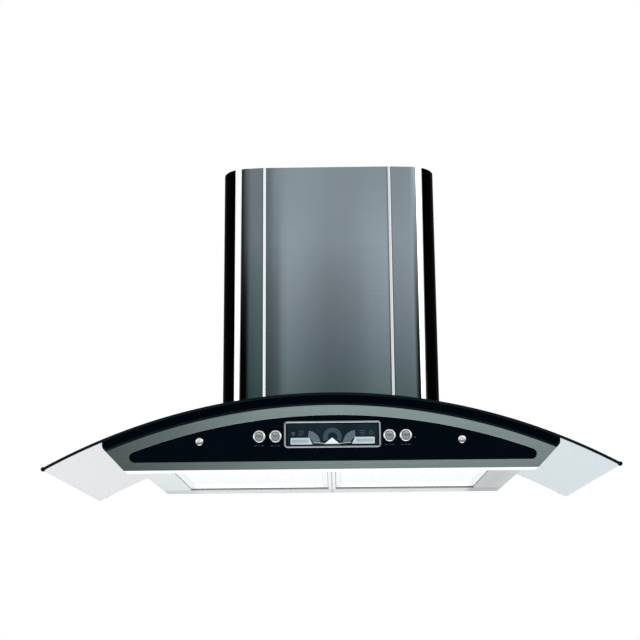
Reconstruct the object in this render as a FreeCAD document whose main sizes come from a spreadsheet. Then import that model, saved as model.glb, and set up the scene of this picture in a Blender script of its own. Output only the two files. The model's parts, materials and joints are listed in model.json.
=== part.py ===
"""Curved glass range hood, wall hung, 90 cm class.

Frame: X to the right, the front faces -Y, +Z up. The origin lies on the wall plane (Y = 0), on the
centre line, at the level of the body's underside. Lengths are millimetres.

The canopy, its trims, the fascia and the body's roof are bands of concentric arches, so all of them
follow glass_width, arch_rise and crown_height. "Reach" means the distance from the wall.
"""
import FreeCAD, Part
import math
import os
import re

import Sketcher
from FreeCAD import Placement, Rotation, Vector

SIZES = {
    # glass canopy and the black trim on its front edge
    "glass_width": 895,
    "glass_depth": 500,
    "glass_thickness": 5,
    "arch_rise": 114,
    "crown_height": 106.8,
    "edge_flange": 0.5,
    "edge_wall": 2,
    "edge_depth": 8,
    "tip_radius": 3.5,
    "glass_wall_gap": 1,
    "cutout_gap": 2,
    "seal_thickness": 2,
    "seal_width": 26,
    "seal_margin": 11,
    # black front moulding under the glass
    "moulding_height": 14.2,
    "moulding_end_slope": 7.5,
    "moulding_overhang": 2,
    "moulding_round": 3.5,
    # steel fascia with the black control glass let into it
    "fascia_setback": 6,
    "fascia_depth": 34,
    "fascia_cheek": 42,
    "fascia_end_slope": 29.9,
    "fascia_band": 16.1,
    "fascia_drop": 14.5,
    "fascia_lip": 13.2,
    "fascia_plate": 4,
    "fascia_skin": 1.5,
    "lens_end_radius": 8.3,
    "lens_ledge": 6,
    "panel_thickness": 3,
    "panel_gap": 0.3,
    # body shell and its underside
    "shell_inset": 4.6,
    "shell_sheet": 1,
    "hatch_margin": 20,
    "hatch_rear_strip": 10,
    "under_thickness": 2.5,
    "side_strip": 52.4,
    "divider_half": 6.5,
    "front_strip": 58,
    "rear_strip": 63,
    "side_gap": 0.6,
    "front_gap": 2,
    "rear_slot": 4,
    "filter_height": 10,
    "filter_rail": 8,
    "filter_lift": 0.3,
    "filter_pad": 2,
    "hinge_inset": 4,
    "pin_radius": 2,
    "pin_grip": 6,
    "running_gap": 0.05,
    "lug_sheet": 2,
    "lug_width": 16,
    "lug_height": 14,
    "magnet_radius": 5,
    "magnet_height": 3,
    "magnet_gap": 0.5,
    "tab_sheet": 1.5,
    "tab_width": 20,
    "tab_arm": 14,
    # lamps in the front strip of the underside
    "lamp_spacing": 300,
    "lamp_radius": 22,
    "lamp_flange": 25,
    "lamp_flange_height": 1.5,
    "lamp_height": 24,
    "lamp_wall": 1.5,
    "lamp_lens": 2,
    # controls
    "panel_shift": 3,
    "display_width": 153,
    "display_height": 43.7,
    "display_rise": 5.4,
    "display_corner": 6,
    "bezel_line": 3.7,
    "bezel_proud": 1.6,
    "window_sheet": 0.8,
    "window_land": 5,
    "button_offset": 12.5,
    "button_pitch": 25.5,
    "button_drop": 2.4,
    "ring_radius": 10,
    "ring_bore": 6.5,
    "ring_proud": 2.2,
    "ring_round": 1.7,
    "ring_neck": 8.2,
    "ring_neck_wall": 2,
    "button_gap": 0.3,
    "button_proud": 3.6,
    "button_round": 1.6,
    "button_flange": 7.4,
    "button_flange_height": 1,
    "button_travel": 1.5,
    "button_stem": 2.5,
    "stem_gap": 0.3,
    "stud_half": 204.8,
    "stud_drop": 9.8,
    "stud_radius": 6.5,
    "stud_height": 3,
    "stud_round": 2.4,
    "stud_shank": 3,
    "housing_margin": 18,
    "housing_bottom": 1.6,
    "housing_gap": 3,
    "housing_clearance": 2,
    "housing_wall": 2,
    "board_stand": 14,
    "board_sheet": 1.6,
    "board_margin": 17.5,
    "board_height": 46,
    "switch_size": 6,
    "switch_height": 2.2,
    "post_radius": 3,
    "post_inset": 7,
    "module_margin": 5,
    # chimney
    "chimney_half": 193,
    "chimney_depth": 270,
    "chimney_corner": 48,
    "chimney_height": 564,
    "facet_setback": 3,
    "chimney_skin": 1,
    "side_return": 23,
    "strip_width": 11.5,
    "strip_gap": 4,
    "strip_proud": 0.6,
    "strip_flange": 1.4,
    "strip_tuck": 6,
    "facet_width": 29.55,
    "inlay_shift": -3.4,
    "inlay_width": 4.5,
    "inlay_proud": 0.6,
    "side_wall_gap": 0.4,
    "deck_drop": 51,
    "deck_sheet": 1.5,
    # rear chassis, which hangs on the wall
    "chassis_sheet": 2,
    "chassis_margin": 14,
    "chassis_flange": 30,
    "chassis_flange_gap": 5.2,
    "wall_hole_radius": 4.5,
    "wall_hole_span": 250,
    "wall_hole_low": 150,
    "wall_hole_drop": 33,
    # blower
    "blower_depth": 100,
    "blower_reach": 200,
    "blower_sheet": 1,
    "scroll_gap": 16,
    "scroll_step": 14,
    "scroll_x": 60,
    "scroll_z": 270,
    "tongue_angle": 120,
    "inlet_gap": 2,
    "inlet_lip": 8,
    "impeller_radius": 84,
    "blade_chord": 14,
    "blade_count": 36,
    "blade_sheet": 1,
    "blade_lean": 3.5,
    "impeller_rim": 1.5,
    "impeller_disc": 2,
    "impeller_gap": 8,
    "impeller_front_gap": 4,
    "hub_wall": 8,
    "hub_length": 30,
    "shaft_radius": 4,
    "shaft_hole_gap": 6,
    "shaft_setback": 5,
    "motor_radius": 45,
    "motor_length": 60,
    "motor_plate_rim": 15,
    "motor_plate_sheet": 2,
    "bracket_sheet": 2,
    "bracket_flange": 18,
    "bracket_inset": 8,
    "bracket_gap": 3,
    "bracket_low": 200,
    "bracket_high": 300,
    "capacitor_radius": 14,
    "capacitor_length": 48,
    "capacitor_x": -30,
    "capacitor_z": 250,
    "junction_width": 90,
    "junction_height": 60,
    "junction_depth": 26,
    "junction_gap": 7,
    "junction_wall": 2,
    # outlet
    "outlet_side": 4,
    "outlet_margin": 2,
    "outlet_height": 50,
    "outlet_gap": 23,
    "duct_setback": 65,
    "collar_radius": 75,
    "collar_wall": 1.5,
    "collar_height": 85,
    "collar_flange_width": 7,
    "collar_gap": 0.5,
    "bead_proud": 2,
    "bead_height": 3,
    "bead_gap": 2.5,
    "damper_rise": 11,
    "damper_offset": 4,
    "damper_sheet": 1,
    "damper_gap": 0.6,
    "damper_rest": 0.3,
    "damper_pin": 1.5,
    "knuckle_radius": 2.6,
    "knuckle_length": 120,
    "ledge_width": 3.5,
    "ledge_height": 2,
    # small parts
    "grommet_gap": 3,
    "grommet_neck": 9,
    "grommet_rim": 12,
    "grommet_lip": 2,
    "grommet_bore": 4,
    "glass_screw_setback": 40,
    "glass_screw_rear": 60,
    "glass_screw_tail": 4,
    "glass_screw_shank": 3,
    "glass_screw_head": 8,
    "glass_screw_height": 2.5,
    "glass_hole": 4,
}

# the arches share one centre; ARCH_R is the outer arch of the front edge trim
ARCH_R = "((glass_width^2 / 4 + arch_rise^2) / (2 * arch_rise))"
ARCH_Z = f"(crown_height - {ARCH_R})"
GLASS_R = f"({ARCH_R} - edge_flange)"
UNDER_GLASS_R = f"({GLASS_R} - glass_thickness)"
TRIM_R = f"({UNDER_GLASS_R} - edge_flange)"
FASCIA_R = f"({TRIM_R} - moulding_height)"
LENS_R = f"({FASCIA_R} - fascia_band)"
ROOF_R = f"({UNDER_GLASS_R} - seal_thickness)"

# the control panel's arch runs into its flat bottom at two small round ends, and the widths of the
# fascia, the moulding and the body follow from those ends
LENS_BOTTOM = "(fascia_lip - fascia_drop)"
LENS_END_RISE = f"({LENS_BOTTOM} + lens_end_radius - {ARCH_Z})"
LENS_END_X = f"sqrt(({LENS_R} - lens_end_radius)^2 - {LENS_END_RISE}^2)"
MOULDING_HALF = f"({LENS_END_X} + lens_end_radius + fascia_cheek)"
FASCIA_TOP_HALF = f"({MOULDING_HALF} - moulding_end_slope)"
FASCIA_LOW_HALF = f"({FASCIA_TOP_HALF} - fascia_end_slope)"
SHELL_HALF = f"({FASCIA_LOW_HALF} - shell_inset)"
FILTER_HALF_SPAN = f"({SHELL_HALF} - side_strip)"
SEAL_OUTER = f"({SHELL_HALF} - seal_margin)"
SEAL_INNER = f"({SEAL_OUTER} - seal_width)"
GLASS_SCREW_X = f"({SEAL_OUTER} - seal_width / 2)"

FASCIA_REACH = "(glass_depth - fascia_setback)"
SHELL_REACH = f"({FASCIA_REACH} - fascia_depth)"
LAMP_REACH = f"({SHELL_REACH} - front_strip / 2)"
FILTER_OPENING = f"({SHELL_REACH} - front_strip)"
PANEL_BACK = f"({FASCIA_REACH} - panel_thickness)"
PLATE_BACK = f"({FASCIA_REACH} - fascia_plate)"
HOUSING_DEPTH = "(fascia_depth - fascia_plate - housing_clearance)"
BOARD_FRONT = f"({PLATE_BACK} - {HOUSING_DEPTH} + housing_wall + board_stand + board_sheet)"
SWITCH_FRONT = f"({BOARD_FRONT} + switch_height)"
STEM_TIP = f"({SWITCH_FRONT} + stem_gap + button_travel)"

DISPLAY_Z = f"(({LENS_BOTTOM} + {ARCH_Z} + {LENS_R}) / 2 + display_rise)"
BUTTON_Z = f"({DISPLAY_Z} - button_drop)"
STUD_Z = f"({DISPLAY_Z} - stud_drop)"
BUTTON_NEAR = "(display_width / 2 + button_offset)"
BUTTON_FAR = f"({BUTTON_NEAR} + button_pitch)"
BOARD_HALF = f"({BUTTON_FAR} + board_margin)"
HOUSING_HALF = f"({BOARD_HALF} + housing_margin)"
HOUSING_TOP = (f"({ARCH_Z} + sqrt(({FASCIA_R} - fascia_skin)^2 - (panel_shift + {HOUSING_HALF})^2)"
               " - housing_gap)")

HINGE_Z = "(under_thickness + filter_lift + filter_height / 2)"
HINGE_REACH = "(rear_strip + rear_slot + hinge_inset)"
FILTER_BOTTOM = "(under_thickness + filter_lift)"
FILTER_REAR = "(rear_strip + rear_slot)"
FILTER_FRONT = f"({FILTER_OPENING} - front_gap)"

STRIP_OUTER = "(chimney_half - side_return)"
STRIP_INNER = f"({STRIP_OUTER} - strip_width)"
FRONT_HALF = f"({STRIP_INNER} - strip_gap)"
CORNER_X = "(chimney_half - chimney_corner)"
CORNER_Y = "(-(chimney_depth - facet_setback - chimney_corner))"
AXIS_X = "(scroll_x - scroll_step / 2)"
AXIS_Z = "(scroll_z + scroll_step / 2)"
SCROLL_BACK = "(blower_reach - blower_depth)"
SCROLL_R = "(impeller_radius + scroll_gap)"
SCROLL_LEFT = f"(scroll_x - 3 * scroll_step - {SCROLL_R})"
MOUTH_LEFT = f"({SCROLL_LEFT} + blower_sheet)"
MOUTH_RIGHT = f"(scroll_x + {SCROLL_R} * cos(1deg * tongue_angle) - blower_sheet)"
BLADE_INNER = "(impeller_radius - blade_chord)"
INLET_R = f"({BLADE_INNER} - inlet_gap)"
SHAFT_HOLE = "(shaft_radius + shaft_hole_gap)"
MOTOR_PLATE = "(motor_radius + motor_plate_rim)"

# the blower's brackets stand at the scroll's left side and beside the motor plate, and the chassis and
# its grommet follow them
BRACKET_LEFT = f"({SCROLL_LEFT} + bracket_inset)"
BRACKET_RIGHT = f"({AXIS_X} + {MOTOR_PLATE} + bracket_gap + bracket_flange - bracket_sheet)"
CHASSIS_HALF = f"({BRACKET_RIGHT} + bracket_sheet + chassis_margin + chassis_sheet)"
GROMMET_REACH = "(chassis_flange + grommet_rim + grommet_gap)"

DECK_Z = "(chimney_height - deck_drop)"
OUTLET_TOP = f"({DECK_Z} - outlet_gap)"
SCROLL_TOP = f"({OUTLET_TOP} - outlet_height)"
DUCT_REACH = "(blower_reach - duct_setback)"
COLLAR_FOOT = "(collar_radius + collar_flange_width)"
BEAD_R = "(collar_radius + bead_proud)"
OUTLET_LEFT = f"({SCROLL_LEFT} - outlet_side)"
OUTLET_RIGHT = f"({COLLAR_FOOT} + outlet_side)"
OUTLET_HALF_DEPTH = "(collar_radius + outlet_margin)"
BEAD_Z = f"({DECK_Z} + deck_sheet + bead_gap)"
DAMPER_Z = f"({OUTLET_TOP} + damper_rise)"
JUNCTION_Z = f"({DECK_Z} - junction_gap - junction_height)"

GLASS_SCREW_LOW = f"({ROOF_R} - shell_sheet - glass_screw_tail)"

# how far a cutting tool runs past the piece it cuts, and how close a point counts as lying on a face
OVER = "5"
TOUCH = 0.01

BUTTONS = {
    "button_left_outer": f"(panel_shift - {BUTTON_FAR})",
    "button_left_inner": f"(panel_shift - {BUTTON_NEAR})",
    "button_right_inner": f"(panel_shift + {BUTTON_NEAR})",
    "button_right_outer": f"(panel_shift + {BUTTON_FAR})",
}
FILTER_MIDDLES = [f"(divider_half + {FILTER_HALF_SPAN}) / 2", f"-(divider_half + {FILTER_HALF_SPAN}) / 2"]
GLASS_SCREWS = [(side, reach) for side in (1, -1)
                for reach in (f"({SHELL_REACH} - glass_screw_setback)", "glass_screw_rear")]

doc = FreeCAD.newDocument("range_hood")
sheet = doc.addObject("Spreadsheet::Sheet", "dim")
NODES = []


def fill_sheet():
    for row, (name, size) in enumerate(SIZES.items(), start=1):
        sheet.set(f"A{row}", name)
        sheet.set(f"B{row}", str(size))
        sheet.setAlias(f"B{row}", name)
    doc.recompute()


def named(text):
    """An expression with the sheet's name put in front of each of its sizes."""
    return re.sub(r"[a-z_]+", lambda word: ("dim." if word.group() in SIZES else "") + word.group(), str(text))


def value(text):
    result = sheet.evalExpression(named(text))
    return float(getattr(result, "Value", result))


def bind(thing, **properties):
    for name, text in properties.items():
        thing.setExpression(name.replace("__", "."), named(text))


def at(thing, x="0", y="0", z="0"):
    bind(thing, Placement__Base__x=x, Placement__Base__y=y, Placement__Base__z=z)
    return thing


# ---------------------------------------------------------------- outlines
# A corner is (u, v), or (u, v, radius, side) where the edge that leaves it is an arc; side is +1 when
# the arc's centre lies to the left of that edge and -1 when it lies to the right.
# A circle is ("circle", u, v, radius).

def arch_height(radius, x):
    return f"({ARCH_Z} + sqrt(({radius})^2 - ({x})^2))"


def rectangle(left, right, bottom, top):
    return [(left, bottom), (right, bottom), (right, top), (left, top)]


def rounded_rectangle(left, right, bottom, top, radius):
    return [
        (f"{left} + {radius}", bottom),
        (f"{right} - {radius}", bottom, radius, 1),
        (right, f"{bottom} + {radius}"),
        (right, f"{top} - {radius}", radius, 1),
        (f"{right} - {radius}", top),
        (f"{left} + {radius}", top, radius, 1),
        (left, f"{top} - {radius}"),
        (left, f"{bottom} + {radius}", radius, 1),
    ]


def band(outer, inner, left, right):
    """A stretch of arch between two radii and two upright ends."""
    return [
        (right, arch_height(outer, right), outer, 1),
        (left, arch_height(outer, left)),
        (left, arch_height(inner, left), inner, -1),
        (right, arch_height(inner, right)),
    ]


def under_arch(radius, half, bottom):
    return [
        (f"-({half})", bottom),
        (half, bottom),
        (half, arch_height(radius, half), radius, 1),
        (f"-({half})", arch_height(radius, half)),
    ]


def moulding_outline(top):
    return [
        (MOULDING_HALF, arch_height(top, MOULDING_HALF), top, 1),
        (f"-{MOULDING_HALF}", arch_height(top, MOULDING_HALF)),
        (f"-{FASCIA_TOP_HALF}", arch_height(FASCIA_R, FASCIA_TOP_HALF), FASCIA_R, -1),
        (FASCIA_TOP_HALF, arch_height(FASCIA_R, FASCIA_TOP_HALF)),
    ]


def fascia_outline(inset):
    """The fascia's front, or the same shape drawn in by inset on all sides."""
    radius = f"({FASCIA_R} - ({inset}))"
    bottom = f"(-fascia_drop + ({inset}))"
    low = f"({FASCIA_LOW_HALF} - ({inset}))"
    high = f"({FASCIA_TOP_HALF} - ({inset}))"
    return [
        (f"-{low}", bottom),
        (low, bottom),
        (high, arch_height(radius, high), radius, 1),
        (f"-{high}", arch_height(radius, high)),
    ]


def lens_outline(inset):
    """The control panel's shape: a flat bottom, an arch and two small round ends."""
    arch = f"({LENS_R} - ({inset}))"
    end = f"(lens_end_radius - ({inset}))"
    bottom = f"({LENS_BOTTOM} + ({inset}))"
    grow = f"{arch} / ({LENS_R} - lens_end_radius)"
    touch_x = f"({LENS_END_X} * {grow})"
    touch_z = f"({ARCH_Z} + {LENS_END_RISE} * {grow})"
    return [
        (f"panel_shift - {LENS_END_X}", bottom),
        (f"panel_shift + {LENS_END_X}", bottom, end, 1),
        (f"panel_shift + {touch_x}", touch_z, arch, 1),
        (f"panel_shift - {touch_x}", touch_z, end, 1),
    ]


def scroll_outline(inset):
    """Three quarter turns of growing radius that open into an upright outlet on the left."""
    first = f"({SCROLL_R} - ({inset}))"
    second = f"({SCROLL_R} + scroll_step - ({inset}))"
    third = f"({SCROLL_R} + 2 * scroll_step - ({inset}))"
    tongue_x = f"(scroll_x + {SCROLL_R} * cos(1deg * tongue_angle) - ({inset}))"
    tongue_z = f"(scroll_z + sqrt({first}^2 - ({tongue_x} - scroll_x)^2))"
    left = f"(scroll_x - scroll_step - {third})"
    return [
        (tongue_x, tongue_z, first, -1),
        (f"scroll_x + {first}", "scroll_z", second, -1),
        ("scroll_x - scroll_step", f"scroll_z - {second}", third, -1),
        (left, "scroll_z + scroll_step"),
        (left, SCROLL_TOP),
        (tongue_x, SCROLL_TOP),
    ]


def corner_arc_y(radius, x):
    """Where a circle about the chimney's corner centre passes x, on its front side."""
    return f"({CORNER_Y} - sqrt(({radius})^2 - (({x}) - {CORNER_X})^2))"


def corner_band(outer, inner, left, right):
    return [
        (left, corner_arc_y(outer, left), outer, 1),
        (right, corner_arc_y(outer, right)),
        (right, corner_arc_y(inner, right), inner, -1),
        (left, corner_arc_y(inner, left)),
    ]


# ---------------------------------------------------------------- building blocks

def origin_plane(body, role):
    return next(feature for feature in body.Origin.OriginFeatures if feature.Role == role)


def arc_between(start, end, radius, side):
    chord = end - start
    middle = (start + end) * 0.5
    normal = Vector(-chord.y, chord.x, 0)
    normal.normalize()
    rise = math.sqrt(max(radius ** 2 - (chord.Length / 2) ** 2, 0))
    centre = middle + normal * (rise * side)
    first, last = (start, end) if side > 0 else (end, start)
    angles = [math.atan2(point.y - centre.y, point.x - centre.x) for point in (first, last)]
    return Part.ArcOfCircle(Part.Circle(centre, Vector(0, 0, 1), radius), angles[0], angles[1])


def fix(sketch, kind, geometry, point, text):
    """Tie one coordinate of a point of the sketch to an expression."""
    number = sketch.addConstraint(Sketcher.Constraint(kind, -1, 1, geometry, point, value(text)))
    sketch.setExpression(f"Constraints[{number}]", named(text))


def fix_radius(sketch, geometry, text):
    number = sketch.addConstraint(Sketcher.Constraint("Radius", geometry, value(text)))
    sketch.setExpression(f"Constraints[{number}]", named(text))


def draw_circle(sketch, u, v, radius):
    circle = Part.Circle(Vector(value(u), value(v), 0), Vector(0, 0, 1), value(radius))
    geometry = sketch.addGeometry(circle, False)
    fix(sketch, "DistanceX", geometry, 3, u)
    fix(sketch, "DistanceY", geometry, 3, v)
    fix_radius(sketch, geometry, radius)


def draw_loop(sketch, corners):
    points = [Vector(value(corner[0]), value(corner[1]), 0) for corner in corners]
    edges = []
    for index, corner in enumerate(corners):
        start = points[index]
        end = points[(index + 1) % len(points)]
        if len(corner) == 2:
            geometry = sketch.addGeometry(Part.LineSegment(start, end), False)
            edges.append((geometry, 1, 2))
        else:
            arc = arc_between(start, end, value(corner[2]), corner[3])
            geometry = sketch.addGeometry(arc, False)
            edges.append((geometry, 1, 2) if corner[3] > 0 else (geometry, 2, 1))
    for index, (corner, (geometry, start, end)) in enumerate(zip(corners, edges)):
        following = edges[(index + 1) % len(edges)]
        fix(sketch, "DistanceX", geometry, start, corner[0])
        fix(sketch, "DistanceY", geometry, start, corner[1])
        sketch.addConstraint(Sketcher.Constraint("Coincident", geometry, end, following[0], following[1]))
        if len(corner) == 4:
            fix_radius(sketch, geometry, corner[2])


def draw(body, name, plane, level, loops):
    sketch = body.newObject("Sketcher::SketchObject", name)
    sketch.AttachmentSupport = (origin_plane(body, plane + "_Plane"), "")
    sketch.MapMode = "FlatFace"
    bind(sketch, AttachmentOffset__Base__z=level)
    for loop in loops:
        if loop[0] == "circle":
            draw_circle(sketch, *loop[1:])
        else:
            draw_loop(sketch, loop)
    return sketch


def prism(name, plane, level, length, *loops):
    """A body padded from one sketch. From XZ it grows to the front, from XY up, from YZ to the right."""
    body = doc.addObject("PartDesign::Body", name)
    pad = body.newObject("PartDesign::Pad", name + "_pad")
    sketch = draw(body, name + "_outline", plane, level, loops)
    pad.Profile = sketch
    bind(pad, Length=length)
    sketch.Visibility = False
    body.Tip = pad
    return body


def turned(name, x, reach, z, length, outer, inner=None):
    """A round body whose axis runs from reach to the front, with an optional bore."""
    loops = [("circle", x, z, outer)]
    if inner:
        loops.append(("circle", x, z, inner))
    return prism(name, "XZ", reach, length, *loops)


def box(name, x, y, z, length, width, height):
    block = doc.addObject("Part::Box", name)
    bind(block, Length=length, Width=width, Height=height)
    return at(block, x, y, z)


def cylinder(name, x, y, z, radius, height):
    post = doc.addObject("Part::Cylinder", name)
    bind(post, Radius=radius, Height=height)
    return at(post, x, y, z)


def join(name, *shapes):
    fusion = doc.addObject("Part::MultiFuse", name)
    fusion.Shapes = list(shapes)
    fusion.Refine = True
    return fusion


def cut(name, base, *tools):
    result = doc.addObject("Part::Cut", name)
    result.Base = base
    result.Tool = tools[0] if len(tools) == 1 else join(name + "_tools", *tools)
    return result


def common(name, base, tool):
    result = doc.addObject("Part::Common", name)
    result.Base = base
    result.Tool = tool
    return result


def group(name, *shapes):
    result = doc.addObject("Part::Compound", name)
    result.Links = list(shapes)
    return result


def mirrored(name, source):
    result = doc.addObject("Part::Mirroring", name)
    result.Source = source
    result.Normal = Vector(1, 0, 0)
    return result


def node(name, thing):
    """Put a finished piece on the list of pieces under its own label."""
    thing.Label = name
    NODES.append(thing)
    return thing


def edges_where(thing, test):
    """The numbers of the edges whose middle point passes the test."""
    doc.recompute()
    found = []
    for number, edge in enumerate(thing.Shape.Edges, start=1):
        middle = edge.valueAt((edge.FirstParameter + edge.LastParameter) / 2)
        if test(edge, middle):
            found.append(number)
    return found


def rounded(name, base, radius, test):
    """The base with the edges that pass the test filleted; the edge list is found again by test."""
    result = doc.addObject("Part::Fillet", name)
    result.Base = base
    size = value(radius)
    result.Edges = [(number, size, size) for number in edges_where(base, test)]
    return result


def rim_at(reach):
    """A test for the edges that lie in the plane at this distance from the wall."""
    return lambda edge, point: point.y < -value(reach) + TOUCH


# ---------------------------------------------------------------- canopy and front

def build_canopy():
    rear = "glass_wall_gap"
    pane_outline = band(GLASS_R, UNDER_GLASS_R, "-(glass_width / 2)", "glass_width / 2")
    pane = prism("pane", "XZ", rear, f"glass_depth - edge_wall - {rear}", pane_outline)
    half = "(chimney_half + cutout_gap)"
    front = "(-(chimney_depth + cutout_gap))"
    radius = "(chimney_corner + cutout_gap)"
    cutout = [
        (f"-{half} + {radius}", front),
        (f"{half} - {radius}", front, radius, 1),
        (half, f"{front} + {radius}"),
        (half, OVER),
        (f"-{half}", OVER),
        (f"-{half}", f"{front} + {radius}", radius, 1),
    ]
    chimney_hole = prism("chimney_hole", "XY", "0", "crown_height * 2", cutout)
    holes = [glass_screw_tool(f"screw_hole_{index}", side, reach, "glass_hole")
             for index, (side, reach) in enumerate(GLASS_SCREWS)]
    node("glass_canopy", cut("canopy", pane, chimney_hole, *holes))

    trim_outline = band(ARCH_R, TRIM_R, "-(glass_width / 2)", "glass_width / 2")
    trim = prism("edge_band", "XZ", "glass_depth - edge_depth", "edge_depth", trim_outline)
    middle = f"({UNDER_GLASS_R} + glass_thickness / 2)"
    tips = [turned(f"edge_tip_{index}", side, "glass_depth - edge_depth", arch_height(middle, side), "edge_depth",
                   "tip_radius")
            for index, side in enumerate(("glass_width / 2", "-(glass_width / 2)"))]
    node("glass_edge_trim", cut("edge_trim", join("edge_blank", trim, *tips), pane))

    moulding = prism("moulding_blank", "XZ", SHELL_REACH, "fascia_depth + moulding_overhang",
                     moulding_outline(UNDER_GLASS_R))
    moulding_cut = cut("moulding_cut", moulding, trim)
    on_front = rim_at(f"{FASCIA_REACH} + moulding_overhang")
    node("front_trim", rounded("moulding", moulding_cut, "moulding_round",
                               lambda edge, point: edge.Length > value(MOULDING_HALF) and on_front(edge, point)))

    for side, left, right in (("right", SEAL_INNER, SEAL_OUTER), ("left", f"-{SEAL_OUTER}", f"-{SEAL_INNER}")):
        strip = prism(f"seal_strip_{side}", "XZ", "rear_strip / 2", f"{SHELL_REACH} - rear_strip",
                      band(UNDER_GLASS_R, ROOF_R, left, right))
        holes = [glass_screw_tool(f"seal_hole_{side}_{number}", screw_side, reach, "glass_screw_shank")
                 for number, (screw_side, reach) in enumerate(GLASS_SCREWS)]
        node(f"glass_seal_{side}", cut(f"seal_{side}", strip, *holes))


def glass_screw_tool(name, side, reach, radius, start=None, length=None):
    """A round bar square to the arch at one of the four places where the glass is screwed down."""
    tilt = f"asin({GLASS_SCREW_X} / {GLASS_R})"
    low = start or GLASS_SCREW_LOW
    bar = doc.addObject("Part::Cylinder", name)
    bar.Placement = Placement(Vector(), Rotation(Vector(0, side, 0), value(tilt)))
    bind(bar, Radius=radius, Height=length or f"{GLASS_R} - {low} + {OVER}", Placement__Rotation__Angle=tilt)
    return at(bar, f"{side} * {low} * {GLASS_SCREW_X} / {GLASS_R}", f"-{reach}",
              f"{ARCH_Z} + {low} * cos({tilt})")


def build_glass_screws():
    screws = []
    for index, (side, reach) in enumerate(GLASS_SCREWS):
        shank = glass_screw_tool(f"glass_shank_{index}", side, reach, "glass_screw_shank", GLASS_SCREW_LOW,
                                 f"{GLASS_R} - {GLASS_SCREW_LOW}")
        head = glass_screw_tool(f"glass_head_{index}", side, reach, "glass_screw_head", GLASS_R,
                                "glass_screw_height")
        screws.append(join(f"glass_screw_{index}", shank, head))
    node("glass_screws", group("glass_screw_set", *screws))


def build_fascia():
    blank = prism("fascia_blank", "XZ", SHELL_REACH, "fascia_depth", fascia_outline("0"))
    hollow = prism("fascia_hollow", "XZ", f"{SHELL_REACH} - {OVER}", f"fascia_depth - fascia_plate + {OVER}",
                   fascia_outline("fascia_skin"))
    window = prism("fascia_window", "XZ", f"{PLATE_BACK} - {OVER}", f"fascia_plate + 2 * {OVER}",
                   lens_outline("lens_ledge"))
    recess = prism("fascia_recess", "XZ", PANEL_BACK, f"panel_thickness + {OVER}", lens_outline("0"))
    node("fascia_frame", cut("fascia", blank, hollow, window, recess))

    display_hole = rectangle(
        "panel_shift - display_width / 2 + bezel_line + window_land",
        "panel_shift + display_width / 2 - bezel_line - window_land",
        f"{DISPLAY_Z} - display_height / 2 + bezel_line + window_land",
        f"{DISPLAY_Z} + display_height / 2 - bezel_line - window_land")
    holes = [("circle", x, BUTTON_Z, "ring_neck") for x in BUTTONS.values()]
    holes += [("circle", f"{side} * stud_half", STUD_Z, "stud_shank") for side in (1, -1)]
    node("control_glass", prism("panel", "XZ", PANEL_BACK, "panel_thickness", lens_outline("panel_gap"),
                                display_hole, *holes))
    for name, side in (("panel_stud_right", 1), ("panel_stud_left", -1)):
        x = f"{side} * stud_half"
        shank = turned(name + "_shank", x, f"{SHELL_REACH} - shell_sheet", STUD_Z,
                       "fascia_depth + shell_sheet", "stud_shank")
        cap = turned(name + "_cap", x, FASCIA_REACH, STUD_Z, "stud_height", "stud_radius")
        domed = rounded(name + "_dome", cap, "stud_round", rim_at(f"{FASCIA_REACH} + stud_height"))
        node(name, join(name + "_whole", shank, domed))


# ---------------------------------------------------------------- controls

def build_display():
    left = "panel_shift - display_width / 2"
    right = "panel_shift + display_width / 2"
    bottom = f"{DISPLAY_Z} - display_height / 2"
    top = f"{DISPLAY_Z} + display_height / 2"
    outer = rounded_rectangle(left, right, bottom, top, "display_corner")
    inner = rounded_rectangle(f"{left} + bezel_line", f"{right} - bezel_line", f"{bottom} + bezel_line",
                              f"{top} - bezel_line", "(display_corner - bezel_line)")
    node("display_bezel", prism("bezel", "XZ", FASCIA_REACH, "bezel_proud", outer, inner))
    node("display_window", prism("window", "XZ", FASCIA_REACH, "window_sheet", inner))
    node("display_module", box("module", f"{left} + module_margin", f"-({PANEL_BACK} - panel_gap)",
                               f"{bottom} + module_margin", "display_width - 2 * module_margin",
                               f"{PANEL_BACK} - panel_gap - {BOARD_FRONT}", "display_height - 2 * module_margin"))


def build_buttons():
    for name, x in BUTTONS.items():
        neck_back = f"({PANEL_BACK} - ring_neck_wall)"
        ring = turned(name + "_ring", x, FASCIA_REACH, BUTTON_Z, "ring_proud", "ring_radius")
        domed = rounded(name + "_ring_dome", ring, "ring_round", rim_at(f"{FASCIA_REACH} + ring_proud"))
        neck = turned(name + "_neck", x, neck_back, BUTTON_Z, "panel_thickness + ring_neck_wall", "ring_neck")
        bore = turned(name + "_bore", x, f"{neck_back} - {OVER}", BUTTON_Z,
                      f"{FASCIA_REACH} + ring_proud - {neck_back} + 2 * {OVER}", "ring_bore")
        node(name.replace("button", "bezel"), cut(name + "_bezel", join(name + "_ring_neck", domed, neck), bore))

        cap = turned(name + "_cap", x, neck_back, BUTTON_Z, f"{FASCIA_REACH} + button_proud - {neck_back}",
                     "(ring_bore - button_gap)")
        crowned = rounded(name + "_crown", cap, "button_round", rim_at(f"{FASCIA_REACH} + button_proud"))
        flange = turned(name + "_flange", x, f"{neck_back} - button_flange_height", BUTTON_Z,
                        "button_flange_height", "button_flange")
        stem = turned(name + "_stem", x, STEM_TIP, BUTTON_Z, f"{neck_back} - {STEM_TIP}", "button_stem")
        node(name, join(name + "_whole", crowned, flange, stem))


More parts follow.
